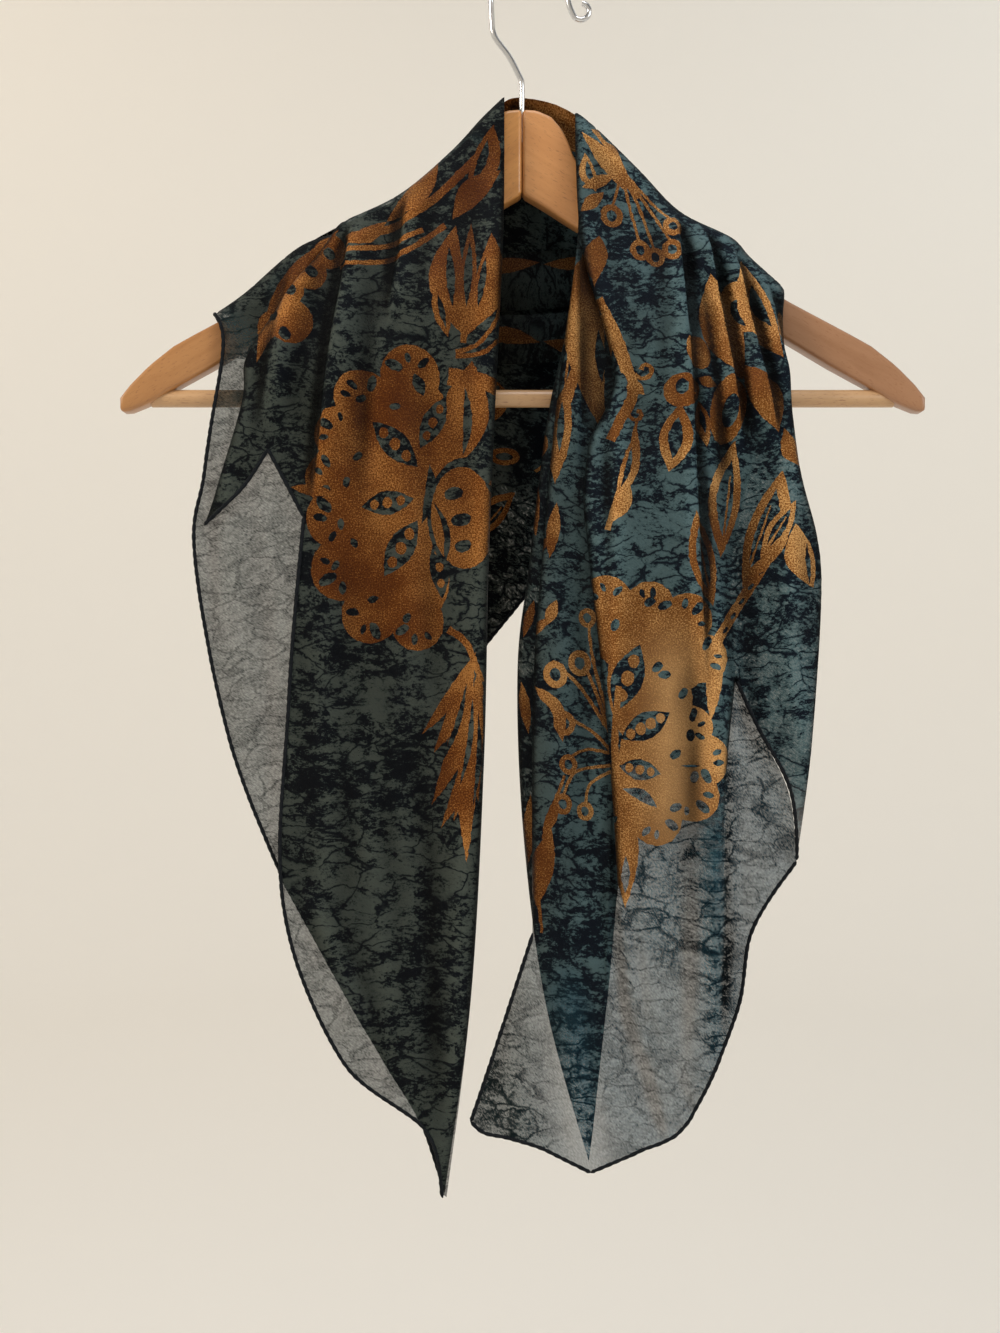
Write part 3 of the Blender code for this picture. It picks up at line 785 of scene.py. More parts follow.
# ---- finishes -----------------------------------------------------------------------------------------
class Nodes:
    """A short way to lay out a material's nodes."""

    def __init__(self, name: str) -> None:
        """Make an empty material with a Principled shader."""
        self.material = bpy.data.materials.new(name)
        self.material.use_nodes = True
        self.tree = self.material.node_tree
        self.shader = self.tree.nodes["Principled BSDF"]

    def add(self, kind: str, **settings: object) -> bpy.types.Node:
        """Add a node.

        Args:
            kind: the node's type.
            settings: its properties, or else the values of its sockets.

        Returns:
            The node.
        """
        node = self.tree.nodes.new(kind)
        for key, value in settings.items():
            label = key.replace("_", " ").title()
            if hasattr(node, key):
                setattr(node, key, value)
            else:
                node.inputs[label].default_value = value
        return node

    def join(self, output: bpy.types.NodeSocket, entry: bpy.types.NodeSocket) -> None:
        """Link an output to an input."""
        self.tree.links.new(output, entry)

    def maths(self, operation: str, one: object, two: object = 0.0, three: object = 0.0,
              clamp: bool = False) -> bpy.types.NodeSocket:
        """Work out a value.

        Args:
            operation: the Math node's operation.
            one: the first operand, a socket or a number.
            two: the second one.
            three: the third one, where the operation takes it.
            clamp: whether the result is kept between 0 and 1.

        Returns:
            The value.
        """
        node = self.add("ShaderNodeMath", operation=operation, use_clamp=clamp)
        for entry, value in zip(node.inputs, (one, two, three)):
            if isinstance(value, bpy.types.NodeSocket):
                self.join(value, entry)
            else:
                entry.default_value = value
        return node.outputs[0]

    def spread(self, value: bpy.types.NodeSocket, middle: float, gain: float,
               clamp: bool = False) -> bpy.types.NodeSocket:
        """Scale how far a value stands from a middle.

        Args:
            value: the value.
            middle: what counts as nought.
            gain: the factor.
            clamp: whether the result is kept between 0 and 1.

        Returns:
            The scaled difference.
        """
        return self.maths("MULTIPLY", self.maths("SUBTRACT", value, middle), gain, clamp=clamp)

    def blend(self, factor: object, one: object, two: object) -> bpy.types.NodeSocket:
        """Mix two colours.

        Args:
            factor: how much of the second, a socket or a number.
            one: the first, a socket or (r, g, b).
            two: the second.

        Returns:
            The mixed colour.
        """
        node = self.add("ShaderNodeMix", data_type="RGBA")
        for entry, value in zip((node.inputs[0], node.inputs[6], node.inputs[7]), (factor, one, two)):
            if isinstance(value, bpy.types.NodeSocket):
                self.join(value, entry)
            elif isinstance(value, tuple):
                entry.default_value = (*value, 1.0)
            else:
                entry.default_value = value
        return node.outputs[2]

    def ramp(self, source: bpy.types.NodeSocket,
             stops: Sequence[tuple[float, Colour]]) -> bpy.types.NodeSocket:
        """Turn a value into a colour.

        Args:
            source: the value.
            stops: rows of (place, colour), by rising place.

        Returns:
            The colour.
        """
        node = self.add("ShaderNodeValToRGB")
        while len(node.color_ramp.elements) < len(stops):
            node.color_ramp.elements.new(0.5)
        for element, (place, colour) in zip(node.color_ramp.elements, stops):
            element.position = place
            element.color = (*colour, 1.0)
        self.join(source, node.inputs[0])
        return node.outputs[0]

    def noise(self, where: bpy.types.NodeSocket, scale: float, detail: float = 4.0,
              roughness: float = 0.55, distortion: float = 0.0) -> bpy.types.NodeSocket:
        """Add a noise texture.

        Args:
            where: the place on the piece.
            scale: how fine it is.
            detail: its octaves.
            roughness: how strong the finer ones are.
            distortion: how far it is warped.

        Returns:
            Its value, about 0.5 on average.
        """
        node = self.add("ShaderNodeTexNoise")
        node.inputs["Scale"].default_value = scale
        node.inputs["Detail"].default_value = detail
        node.inputs["Roughness"].default_value = roughness
        node.inputs["Distortion"].default_value = distortion
        self.join(where, node.inputs["Vector"])
        return node.outputs[0]

    def mapped(self, where: bpy.types.NodeSocket, scale: Place = (1, 1, 1),
               turn: Place = (0, 0, 0)) -> bpy.types.NodeSocket:
        """Scale coordinates and then turn them.

        Args:
            where: the coordinates.
            scale: factors for x, y and z.
            turn: degrees about x, y and z.

        Returns:
            The new coordinates.
        """
        node = self.add("ShaderNodeMapping")
        node.inputs["Scale"].default_value = scale
        node.inputs["Rotation"].default_value = [math.radians(a) for a in turn]
        self.join(where, node.inputs["Vector"])
        return node.outputs[0]

    def tinted(self, colour: bpy.types.NodeSocket, tint: Colour) -> bpy.types.NodeSocket:
        """Tint a colour.

        Args:
            colour: the colour.
            tint: factors (r, g, b).

        Returns:
            The product.
        """
        node = self.add("ShaderNodeVectorMath", operation="MULTIPLY")
        self.join(colour, node.inputs[0])
        node.inputs[1].default_value = tint
        return node.outputs[0]

    def bump(self, height: bpy.types.NodeSocket, strength: float, reach: float) -> None:
        """Bump the shader's surface.

        Args:
            height: the pattern.
            strength: how much of the bump shows.
            reach: how high a value of 1 stands, in metres.
        """
        node = self.add("ShaderNodeBump")
        node.inputs["Strength"].default_value = strength
        node.inputs["Distance"].default_value = reach
        self.join(height, node.inputs["Height"])
        self.join(node.outputs[0], self.shader.inputs["Normal"])

    def set(self, **sockets: object) -> None:
        """Set the shader's own sockets.

        Args:
            sockets: a socket, a colour or a number for each, by name with underscores for spaces.
        """
        for key, value in sockets.items():
            entry = self.shader.inputs[key.replace("_", " ")]
            if isinstance(value, bpy.types.NodeSocket):
                self.join(value, entry)
            else:
                entry.default_value = (*value, 1.0) if isinstance(value, tuple) else value


@dataclass(frozen=True)
class ChiffonFinish:
    """Sheer crepe chiffon: mottled dark teal ground, crackled navy, with a grainy copper print.

    The dye runs from navy over deep and teal to pale where the cloth lies double, with patches that run
    from ash_dark to ash_pale.  Where it is single it runs from single_dark to single_pale, with patches
    from lilac_dark to lilac_pale.  The print runs from rust over copper to gold, and glowing is the print
    with painted light coming through from behind.  warmer tints the left half with painted warm light,
    and cooler, painted_cool_light_single and brighter tint the right half with painted cool light.
    """

    navy: Colour = (0.0018, 0.0035, 0.0065)
    deep: Colour = (0.0055, 0.0105, 0.0145)
    teal: Colour = (0.030, 0.049, 0.052)
    pale: Colour = (0.052, 0.079, 0.082)
    ash_dark: Colour = (0.016, 0.017, 0.018)
    ash_pale: Colour = (0.034, 0.046, 0.042)
    single_dark: Colour = (0.004, 0.010, 0.011)
    single_mid: Colour = (0.020, 0.033, 0.034)
    single_pale: Colour = (0.046, 0.070, 0.072)
    lilac_dark: Colour = (0.010, 0.010, 0.013)
    lilac_pale: Colour = (0.048, 0.047, 0.052)
    rust: Colour = (0.055, 0.013, 0.002)
    copper: Colour = (0.110, 0.033, 0.005)
    gold: Colour = (0.320, 0.138, 0.036)
    glowing: Colour = (0.400, 0.230, 0.095)
    # painted light: warmer is the left half's painted warm light, and cooler, painted_cool_light_single and
    # brighter the right half's painted cool light
    painted_warm_light: Colour = (0.86, 0.66, 0.54)
    painted_cool_light: Colour = (1.20, 1.28, 1.32)
    painted_cool_light_single: Colour = (0.40, 1.25, 1.80)
    painted_print_light: Colour = (1.48, 1.85, 2.50)
    usual_dye: float = 0.58
    opacity: float = 0.77

    def ground(self, n: Nodes, where: bpy.types.NodeSocket,
               plies: bpy.types.NodeSocket) -> bpy.types.NodeSocket:
        """Work out the depth of dye, which one layer shows more faintly than two.

        Args:
            n: the material's nodes.
            where: the place on the cloth.
            plies: 1 where the cloth lies double, 0 where it is single.

        Returns:
            0 where the wax cracked and let the navy in, up to 1 where it kept the teal.
        """
        wander = n.add("ShaderNodeTexNoise")
        wander.inputs["Scale"].default_value = 55
        wander.inputs["Detail"].default_value = 6
        n.join(where, wander.inputs["Vector"])
        stray = n.add("ShaderNodeVectorMath", operation="MULTIPLY_ADD")
        n.join(wander.outputs[1], stray.inputs[0])
        stray.inputs[1].default_value = (0.026, 0.014, 0)
        n.join(where, stray.inputs[2])
        strayed = stray.outputs[0]
        mottles = (
            # noise, weight
            (n.noise(n.mapped(where, (0.85, 1.05, 1)), 16, 2, 0.5), 2.4),
            (n.noise(n.mapped(where, (0.90, 1.10, 1)), 72, 9, 0.70, 0.2), 5.8),
            (n.noise(n.mapped(strayed, (0.75, 1.3, 1)), 190, 6, 0.75), 5.2),
            (n.noise(n.mapped(where, (0.8, 1.2, 1)), 620, 3, 0.7), 3.0),
        )
        mottle = 0.50
        for value, weight in mottles:
            mottle = n.maths("ADD", n.spread(value, 0.5, weight), mottle)
        mottle = n.maths("MULTIPLY", mottle, 1.0, clamp=True)
        cells = n.add("ShaderNodeTexVoronoi", feature="DISTANCE_TO_EDGE")
        cells.inputs["Scale"].default_value = 74
        n.join(n.mapped(strayed, (0.65, 1.4, 1)), cells.inputs["Vector"])
        whole = n.spread(n.noise(where, 36, 5, 0.7), 0.51, 9.0, clamp=True)
        cracks = n.maths("ADD", n.maths("MULTIPLY", cells.outputs[0], 15.0, clamp=True), whole, clamp=True)
        cracks = n.maths("MAXIMUM", cracks, n.maths("SUBTRACT", 0.45, plies))
        depth = n.maths("MULTIPLY_ADD", plies, 0.62, 0.38)
        mottle = n.maths("ADD", n.maths("MULTIPLY", n.maths("SUBTRACT", mottle, self.usual_dye), depth),
                         self.usual_dye)
        return n.maths("MULTIPLY", mottle, cracks, clamp=True)

    def dyed(self, n: Nodes, where: bpy.types.NodeSocket, dye: bpy.types.NodeSocket,
             plies: bpy.types.NodeSocket, cool_light_side: bpy.types.NodeSocket) -> bpy.types.NodeSocket:
        """Colour the ground, with painted warm light on its left half and painted cool light on its right.

        Args:
            n: the material's nodes.
            where: the place on the cloth.
            dye: the depth of dye.
            plies: 1 where the cloth lies double, 0 where it is single.
            cool_light_side: 1 on the right half, which takes painted cool light, 0 on the left, which takes
                painted warm light.

        Returns:
            The colour of the dyed cloth.
        """
        double = n.ramp(dye, ((0.0, self.navy), (0.24, self.deep), (0.44, self.teal), (1.0, self.pale)))
        double = n.blend(cool_light_side, n.tinted(double, self.painted_warm_light), n.tinted(double, self.painted_cool_light))
        ashen = n.spread(n.noise(where, 26, 3, 0.6), 0.48, 3.2, clamp=True)
        double = n.blend(n.maths("MULTIPLY", ashen, 0.55), double,
                         n.ramp(dye, ((0.0, self.navy), (0.35, self.ash_dark), (1.0, self.ash_pale))))
        single = n.ramp(dye, ((0.0, self.single_dark), (0.5, self.single_mid), (1.0, self.single_pale)))
        lilac = n.spread(n.noise(where, 42, 3, 0.6), 0.5, 5.0, clamp=True)
        single = n.blend(n.maths("MULTIPLY", lilac, 0.4), single,
                         n.ramp(dye, ((0.0, self.lilac_dark), (1.0, self.lilac_pale))))
        single = n.blend(cool_light_side, single, n.tinted(single, self.painted_cool_light_single))
        return n.blend(n.maths("POWER", plies, 1.7), single, double)

    def printed(self, n: Nodes, where: bpy.types.NodeSocket, grain: bpy.types.NodeSocket,
                cool_light_side: bpy.types.NodeSocket, glow: bpy.types.NodeSocket) -> bpy.types.NodeSocket:
        """Colour the print, with painted light on its right half and where light comes through it.

        Args:
            n: the material's nodes.
            where: the place on the cloth.
            grain: the fine grain of the crepe.
            cool_light_side: 1 on the right half, which takes painted light, 0 on the left.
            glow: 1 where light comes through.

        Returns:
            The colour of the copper print.
        """
        wash = n.noise(where, 17, 4, 0.6)
        tone = n.maths("ADD", n.spread(grain, 0.5, 2.3), n.spread(wash, 0.5, 2.4))
        tone = n.maths("ADD", tone, 0.52, clamp=True)
        painted = n.ramp(tone, ((0.0, self.rust), (0.5, self.copper), (1.0, self.gold)))
        painted = n.blend(cool_light_side, painted, n.tinted(painted, self.painted_print_light))
        return n.blend(n.maths("MULTIPLY", glow, 0.6), painted, self.glowing)

    @staticmethod
    def folded(n: Nodes, colour: bpy.types.NodeSocket,
               marks: dict[str, bpy.types.NodeSocket]) -> bpy.types.NodeSocket:
        """Paint shade into a colour in the troughs and inside a pleat, and paint a highlight on the ridges.

        Args:
            n: the material's nodes.
            colour: the colour of the cloth.
            marks: the sheet's attributes.

        Returns:
            The shaded colour.
        """
        ridge = n.maths("MAXIMUM", n.maths("MULTIPLY", marks["painted_fold_shading"], -0.45), 0.0)
        trough = n.maths("MAXIMUM", n.maths("MULTIPLY", marks["painted_fold_shading"], 0.66), 0.0)
        light = n.maths("ADD", n.maths("SUBTRACT", ridge, trough), 1.0)
        light = n.maths("MULTIPLY", light, n.maths("MULTIPLY_ADD", marks["deep"], -0.60, 1.0))
        shade = n.add("ShaderNodeVectorMath", operation="SCALE")
        n.join(colour, shade.inputs[0])
        n.join(light, shade.inputs[3])
        return shade.outputs[0]

    def cover(self, n: Nodes, slanted: bpy.types.NodeSocket, dye: bpy.types.NodeSocket,
              marks: dict[str, bpy.types.NodeSocket]) -> bpy.types.NodeSocket:
        """Work out how much the cloth hides.

        Args:
            n: the material's nodes.
            slanted: the place on the cloth, along and across its threads.
            dye: the depth of dye.
            marks: the sheet's attributes.

        Returns:
            1 where nothing shows through, down to 0 where the sheet fades out.
        """
        hides = n.maths("MULTIPLY_ADD", marks["dense"], 0.32, self.opacity)
        hides = n.maths("ADD", hides, n.spread(dye, 0.55, -0.28))
        threads = n.noise(n.mapped(slanted, (0.5, 1.3, 1)), 1150, 1, 0.5)
        hides = n.maths("ADD", hides, n.spread(threads, 0.5, 0.42))
        hides = n.maths("ADD", hides, n.maths("MULTIPLY", marks["copper"], 0.40), clamp=True)
        return n.maths("MULTIPLY", hides, n.maths("MAXIMUM", marks["veil"], marks["copper"]), clamp=True)

    def material(self) -> bpy.types.Material:
        """Build the material, which reads the cloth UV and the attributes that Stretch.mark writes.

        Returns:
            The material.
        """
        n = Nodes("chiffon_cloth")
        where = n.add("ShaderNodeUVMap", uv_map="cloth").outputs[0]
        marks = {name: n.add("ShaderNodeAttribute", attribute_name=name).outputs["Fac"] for name in MARKS}
        marks["dense"] = n.maths("ADD", marks["dense"], marks["haze"])
        plies = n.maths("MINIMUM", marks["dense"], 1.0)
        place = n.add("ShaderNodeSeparateXYZ")
        n.join(n.add("ShaderNodeTexCoord").outputs["Object"], place.inputs[0])
        # painted light: 1 on the right half, where the colours take painted cool light, 0 on the left, where
        # they take painted warm light
        cool_light_side = n.spread(place.outputs[0], -0.012, 26.0, clamp=True)
        dye = self.ground(n, where, plies)
        grain = n.noise(where, 1250, 1, 0.8)
        slanted = n.mapped(where, turn=(0, 0, 45))
        colour = n.blend(marks["copper"], self.dyed(n, where, dye, plies, cool_light_side),
                         self.printed(n, where, grain, cool_light_side, marks["glow"]))
        n.set(Base_Color=self.folded(n, colour, marks), Alpha=self.cover(n, slanted, dye, marks),
              Roughness=n.maths("MULTIPLY_ADD", marks["copper"], -0.22, 0.68),
              Metallic=n.maths("MULTIPLY", marks["copper"], 0.22), Sheen_Weight=0.02,
              Sheen_Roughness=0.4, Sheen_Tint=(0.50, 0.76, 0.88), Specular_IOR_Level=0.08)
        crepe = n.noise(n.mapped(slanted, (0.6, 2.0, 1)), 560, 2, 0.6)
        n.bump(n.maths("ADD", crepe, n.maths("MULTIPLY", grain, 0.5)), 0.7, 0.0008)
        return n.material


@dataclass(frozen=True)
class HemFinish:
    """Black overlocked thread of the rolled hem."""

    thread: Colour = (0.003, 0.004, 0.006)
    worn: Colour = (0.012, 0.014, 0.017)

    def material(self) -> bpy.types.Material:
        """Build the material, with specks of worn thread.

        Returns:
            The material.
        """
        n = Nodes("hem_thread")
        where = n.add("ShaderNodeTexCoord").outputs["Object"]
        speck = n.noise(where, 700, 3, 0.7)
        n.set(Base_Color=n.ramp(speck, ((0.3, self.thread), (0.75, self.worn))), Roughness=0.8,
              Specular_IOR_Level=0.15)
        n.bump(n.noise(where, 900, 2), 0.6, 0.0005)
        return n.material


@dataclass(frozen=True)
class BeechFinish:
    """Varnished steamed beech with short flecks along the grain; turn is the grain's angle in degrees.

    neck is how the wood's colour changes towards the middle, a painted warm light on the middle of the
    hanger.
    """

    name: str
    turn: float
    light: Colour = (0.480, 0.222, 0.074)
    mid: Colour = (0.396, 0.170, 0.052)
    fleck: Colour = (0.260, 0.105, 0.040)
    neck: Colour = (1.0, 1.0, 1.0)

    def material(self) -> bpy.types.Material:
        """Build the material.

        Returns:
            The material.
        """
        n = Nodes(self.name)
        where = n.add("ShaderNodeTexCoord").outputs["Object"]
        along = n.mapped(where, (1, 1, 1), (0, self.turn, 0))
        grain = n.noise(n.mapped(along, (3.5, 40, 40)), 6, 5, 0.6, 0.4)
        band = n.noise(n.mapped(along, (1.2, 12, 12)), 5, 3)
        flecks = n.noise(n.mapped(along, (60, 400, 400)), 4.2, 2, 0.5)
        tone = n.maths("ADD", n.maths("MULTIPLY", grain, 0.7), n.maths("MULTIPLY", band, 0.5))
        wood = n.ramp(tone, ((0.42, self.mid), (0.72, self.light)))
        place = n.add("ShaderNodeSeparateXYZ")
        n.join(where, place.inputs[0])
        # painted light: towards the middle the wood takes the neck tint
        away = n.maths("SUBTRACT", n.maths("MULTIPLY", n.maths("ABSOLUTE", place.outputs[0]), 18.0), 0.5,
                       clamp=True)
        wood = n.blend(away, n.tinted(wood, self.neck), wood)
        dash = n.ramp(flecks, ((0.60, (0, 0, 0)), (0.70, (0.55, 0.55, 0.55))))
        n.set(Base_Color=n.blend(dash, wood, self.fleck), Roughness=0.38, Coat_Weight=0.35,
              Coat_Roughness=0.22)
        n.bump(grain, 0.12, 0.0006)
        return n.material


@dataclass(frozen=True)
class ChromeFinish:
    """Bright plated wire with faint drawing marks."""

    colour: Colour = (0.78, 0.78, 0.79)

    def material(self) -> bpy.types.Material:
        """Build the material.

        Returns:
            The material.
        """
        n = Nodes("chromed_wire")
        where = n.add("ShaderNodeTexCoord").outputs["Object"]
        marks = n.noise(where, 260, 3, 0.6)
        n.set(Base_Color=self.colour, Metallic=1.0, Roughness=n.maths("MULTIPLY_ADD", marks, 0.14, 0.08))
        n.bump(marks, 0.08, 0.0003)
        return n.material


@dataclass(frozen=True)
class PaperFinish:
    """Matt pale paper for the studio sweep."""

    colour: Colour = (0.80, 0.772, 0.725)

    def material(self) -> bpy.types.Material:
        """Build the material.

        Returns:
            The material.
        """
        n = Nodes("studio_paper")
        n.set(Base_Color=self.colour, Roughness=0.95, Specular_IOR_Level=0.1,
              Emission_Color=self.colour, Emission_Strength=0.16)
        return n.material


# ---- the drape ----------------------------------------------------------------------------------------
@dataclass(frozen=True)
class FrontDrape:
    """Depth of a front stretch: over the arm, down its face, then clear of the bar."""

    shoulder: Optional[Run]
    clearance: float
    hang: float
    folds: tuple[Fold, ...]
    creases: tuple[Fold, ...]

    def at(self, spots: np.ndarray) -> np.ndarray:
        """Work out how far back the cloth hangs.

        Args:
            spots: points (x, z) in metres.

        Returns:
            The depth (y) of each spot.
        """
        drop = np.ones(len(spots))
        if self.shoulder:
            drop = distance(spots, smooth_line(self.shoulder, 4 * MM))
        over = arm_depth(spots[:, 0]) - self.clearance * quarter_round(drop, ROUND)
        fall = smoothstep((drop - 12 * MM) / (70 * MM))
        settle = smoothstep((drop - 25 * MM) / (60 * MM))
        early = smoothstep((drop - 3 * MM) / (14 * MM))
        fine = fold_rise(self.creases, spots) + ripple(spots, 3.1, 0.03, 0.0016)
        fine = fine + ripple(spots, 9.7, 0.011, 0.0005)
        y = over + (self.hang - over) * fall - fold_rise(self.folds, spots) * settle - 1.35 * fine * early
        return y + 0.5 * np.clip(-50 * MM - y, 0, None)


@dataclass(frozen=True)
class BackDrape:
    """Depth of the back stretch: down behind the wood, further back at the neck."""

    shoulder: Run
    folds: tuple[Fold, ...] = BACK_FOLDS
    creases: tuple[Fold, ...] = BACK_CREASES

    def at(self, spots: np.ndarray) -> np.ndarray:
        """Work out how far back the cloth hangs.

        Args:
            spots: points (x, z) in metres.

        Returns:
            The depth (y) of each spot.
        """
        drop = distance(spots, smooth_line(self.shoulder, 4 * MM))
        neck = np.exp(-((spots[:, 0] - CENTRE_X) / (18 * MM)) ** 2)
        start = arm_depth(spots[:, 0]) + 2.2 * MM + 4.5 * MM * neck
        over = start + 10 * MM * quarter_round(drop, ROUND)
        fall = smoothstep((drop - 15 * MM) / (60 * MM))
        early = smoothstep((drop - 4 * MM) / (16 * MM))
        fine = fold_rise(self.creases, spots) + ripple(spots, 5.3, 0.03, 0.0018)
        return over + (27 * MM - over) * fall - fold_rise(self.folds, spots) * fall - fine * early


@dataclass(frozen=True)
class RollDrape:
    """Depth of a roll of cloth that swells towards the front between its edges."""

    top: float
    bottom: float
    back: float
    bulge: float
    seed: float
    shoulder: Optional[Run] = None
    creases: tuple[Fold, ...] = ()

    def at(self, spots: np.ndarray) -> np.ndarray:
        """Work out how far back the cloth hangs.

        Args:
            spots: points (x, z) in metres.

        Returns:
            The depth (y) of each spot.
        """
        t = np.clip((self.top * MM - spots[:, 1]) / ((self.top - self.bottom) * MM), 0, 1)
        sag = ripple(spots * np.array([0.35, 2.2]), self.seed, 0.02, 0.0016)
        return (self.back - self.bulge * np.sin(math.pi * t)) * MM - sag


Drape = Union[FrontDrape, BackDrape, RollDrape]


@dataclass
class Stretch:
    """One stretch of the scarf: a thin sheet inside an outline of runs, on its drape, with its print.

    folded and hemmed are the runs that are fold edges and hems.  dense holds outlines inside which
    another ply lies behind, and all_dense says that one does everywhere.  haze is a soft extra ply along
    each band, glow is where painted light comes through the print, and fade a run whose edge the cloth
    thins out to.
    shadows are runs beside which a painted shadow falls where the stretch in front keeps the light off,
    with reach and depth, and deep holds outlines that lie inside a pleat and take painted shade.
    """

    name: str
    node: str
    runs: tuple[Run, ...]
    drape: Drape
    design: Motif
    rests_on: tuple[str, ...]
    folded: tuple[int, ...] = ()
    hemmed: tuple[int, ...] = ()
    shift: tuple[float, float, float] = (0.0, 0.0, 0.0)
    dense: tuple[np.ndarray, ...] = ()
    all_dense: bool = False
    fade: Optional[tuple[Run, float]] = None
    haze: tuple[Fold, ...] = ()
    glow: tuple[Fold, ...] = ()
    shadows: tuple[tuple[Run, float, float], ...] = ()
    deep: tuple[np.ndarray, ...] = ()
    fold_radius: float = 4.5 * MM
    hem_radius: float = 1.0 * MM
    outline: np.ndarray = field(init=False)

    def __post_init__(self) -> None:
        """Lay out the outline."""
        lines = [smooth_line(run, WEAVE_STEP)[:-1] for run in self.runs]
        self.outline = np.vstack(lines)

    def depth(self, spots: np.ndarray) -> np.ndarray:
        """Work out how far back this stretch hangs, turned back round its fold edges.

        Args:
            spots: points (x, z) in metres.

        Returns:
            The depth (y) of each spot.
        """
        y = self.drape.at(spots)
        for index in self.folded:
            away = distance(spots, smooth_line(self.runs[index], 4 * MM))
            y = y + self.fold_radius * (1 - quarter_round(away, self.fold_radius))
        return y

    def fill(self) -> np.ndarray:
        """Lay points inside the outline: an even lattice, with closer rows by the shoulder and the folds.

        Returns:
            Points (x, z) in metres.
        """
        low, high = self.outline.min(axis=0), self.outline.max(axis=0)
        rows = []
        for row in range(int((high[1] - low[1]) / (0.866 * WEAVE_STEP)) + 1):
            x = np.arange(low[0] + 0.5 * WEAVE_STEP * (row % 2), high[0], WEAVE_STEP)
            rows.append(np.column_stack([x, np.full(len(x), low[1] + row * 0.866 * WEAVE_STEP)]))
        lattice = np.vstack(rows)
        closed = np.vstack([self.outline, self.outline[:1]])
        lattice = lattice[inside(lattice, self.outline)]
        lattice = lattice[distance(lattice, closed) > 0.45 * WEAVE_STEP]
        close = []
        edges = [self.runs[index] for index in self.folded]
        if self.drape.shoulder:
            edges.append(self.drape.shoulder)
        for run in edges:
            line = smooth_line(run, WEAVE_STEP)
            ahead = np.gradient(line, axis=0)
            side = np.column_stack([-ahead[:, 1], ahead[:, 0]])
            side /= np.linalg.norm(side, axis=1)[:, None]
            for way in (-1, 1):
                close += [line + side * way * away * MM for away in (0.35, 0.9)]
        for crease in self.drape.creases:
            if abs(crease.lean) > 0.5:
                line = smooth_line((crease.start, crease.end), WEAVE_STEP)
                close += [line + np.array([math.copysign(away, crease.lean) * MM, 0])
                          for away in (0.3, 1.1, 1.9, 2.9, 4.0)]
        if close:
            near = np.vstack(close)
            near = near[inside(near, self.outline)]
            near = near[distance(near, closed) > 0.25 * MM]
            lattice = np.vstack([lattice, near])
        return lattice

    def build(self, finish: bpy.types.Material) -> bpy.types.Object:
        """Cut the print into the sheet, hang it on its drape and dress it.

        Args:
            finish: the chiffon material.

        Returns:
            The new sheet.
        """
        shapes: list[tuple[np.ndarray, str, float]] = []
        shapes += [(outline, "copper", value) for outline, value in self.design.shapes]
        shapes += [(outline, "dense", 1.0) for outline in self.dense]
        shapes += [(outline, "deep", 1.0) for outline in self.deep]
        low, high = self.outline.min(axis=0), self.outline.max(axis=0)
        shapes = [s for s in shapes if (s[0].max(axis=0) > low).all() and (s[0].min(axis=0) < high).all()]
        points = [self.outline, self.fill()]
        loops = [turned_left(self.outline, range(len(self.outline)))]
        used = len(points[0]) + len(points[1])
        for outline, _, _ in shapes:
            loops.append(turned_left(outline, range(used, used + len(outline))))
            points.append(outline)
            used += len(outline)
        spots, _, faces, _, _, origins = delaunay_2d_cdt(
            [Vector(p) for p in np.vstack(points) * 1000], [], loops, 1, 1e-4)
        kept = [(face, ids) for face, ids in zip(faces, origins) if 0 in ids]
        flat = np.array(spots) / 1000
        y = self.depth(flat)
        used_spots = sorted({i for face, _ in kept for i in face})
        place = {old: new for new, old in enumerate(used_spots)}
        mesh = bpy.data.meshes.new(self.name)
        mesh.from_pydata([(flat[i, 0], y[i], flat[i, 1]) for i in used_spots], [],
                         [[place[i] for i in face] for face, _ in kept])
        self.mark(mesh, flat[used_spots], [ids for _, ids in kept], shapes)
        mesh.materials.append(finish)
        mesh.shade_smooth()
        sheet = bpy.data.objects.new(self.name, mesh)
        bpy.context.collection.objects.link(sheet)
        self.face_front(mesh)
        return sheet

    @staticmethod
    def face_front(mesh: bpy.types.Mesh) -> None:
        """Turn the sheet's faces towards the front.

        Args:
            mesh: the sheet.
        """
        if sum(p.normal.y * p.area for p in mesh.polygons) > 0:
            mesh.flip_normals()

    def mark(self, mesh: bpy.types.Mesh, spots: np.ndarray, origins: Sequence[Sequence[int]],
             shapes: Sequence[tuple[np.ndarray, str, float]]) -> None:
        """Write the cloth UV and the attributes that the chiffon reads.

        Args:
            mesh: the sheet.
            spots: its corners (x, z) in metres.
            origins: for each face, the numbers of the outlines that it lies in.
            shapes: rows of (outline, attribute, value), numbered from 1.
        """
        start = {"copper": 0.0, "dense": 1.0 if self.all_dense else 0.0, "deep": 0.0}
        for key in start:
            values = []
            for ids in origins:
                over = [i for i in ids if i > 0 and shapes[i - 1][1] == key]
                values.append(shapes[max(over) - 1][2] if over else start[key])
            mesh.attributes.new(key, "FLOAT", "FACE").data.foreach_set("value", values)
        veil = np.ones(len(spots))
        if self.fade:
            run, reach = self.fade
            veil = smoothstep(distance(spots, smooth_line(run, 4 * MM)) / reach)
        mesh.attributes.new("veil", "FLOAT", "POINT").data.foreach_set("value", veil)
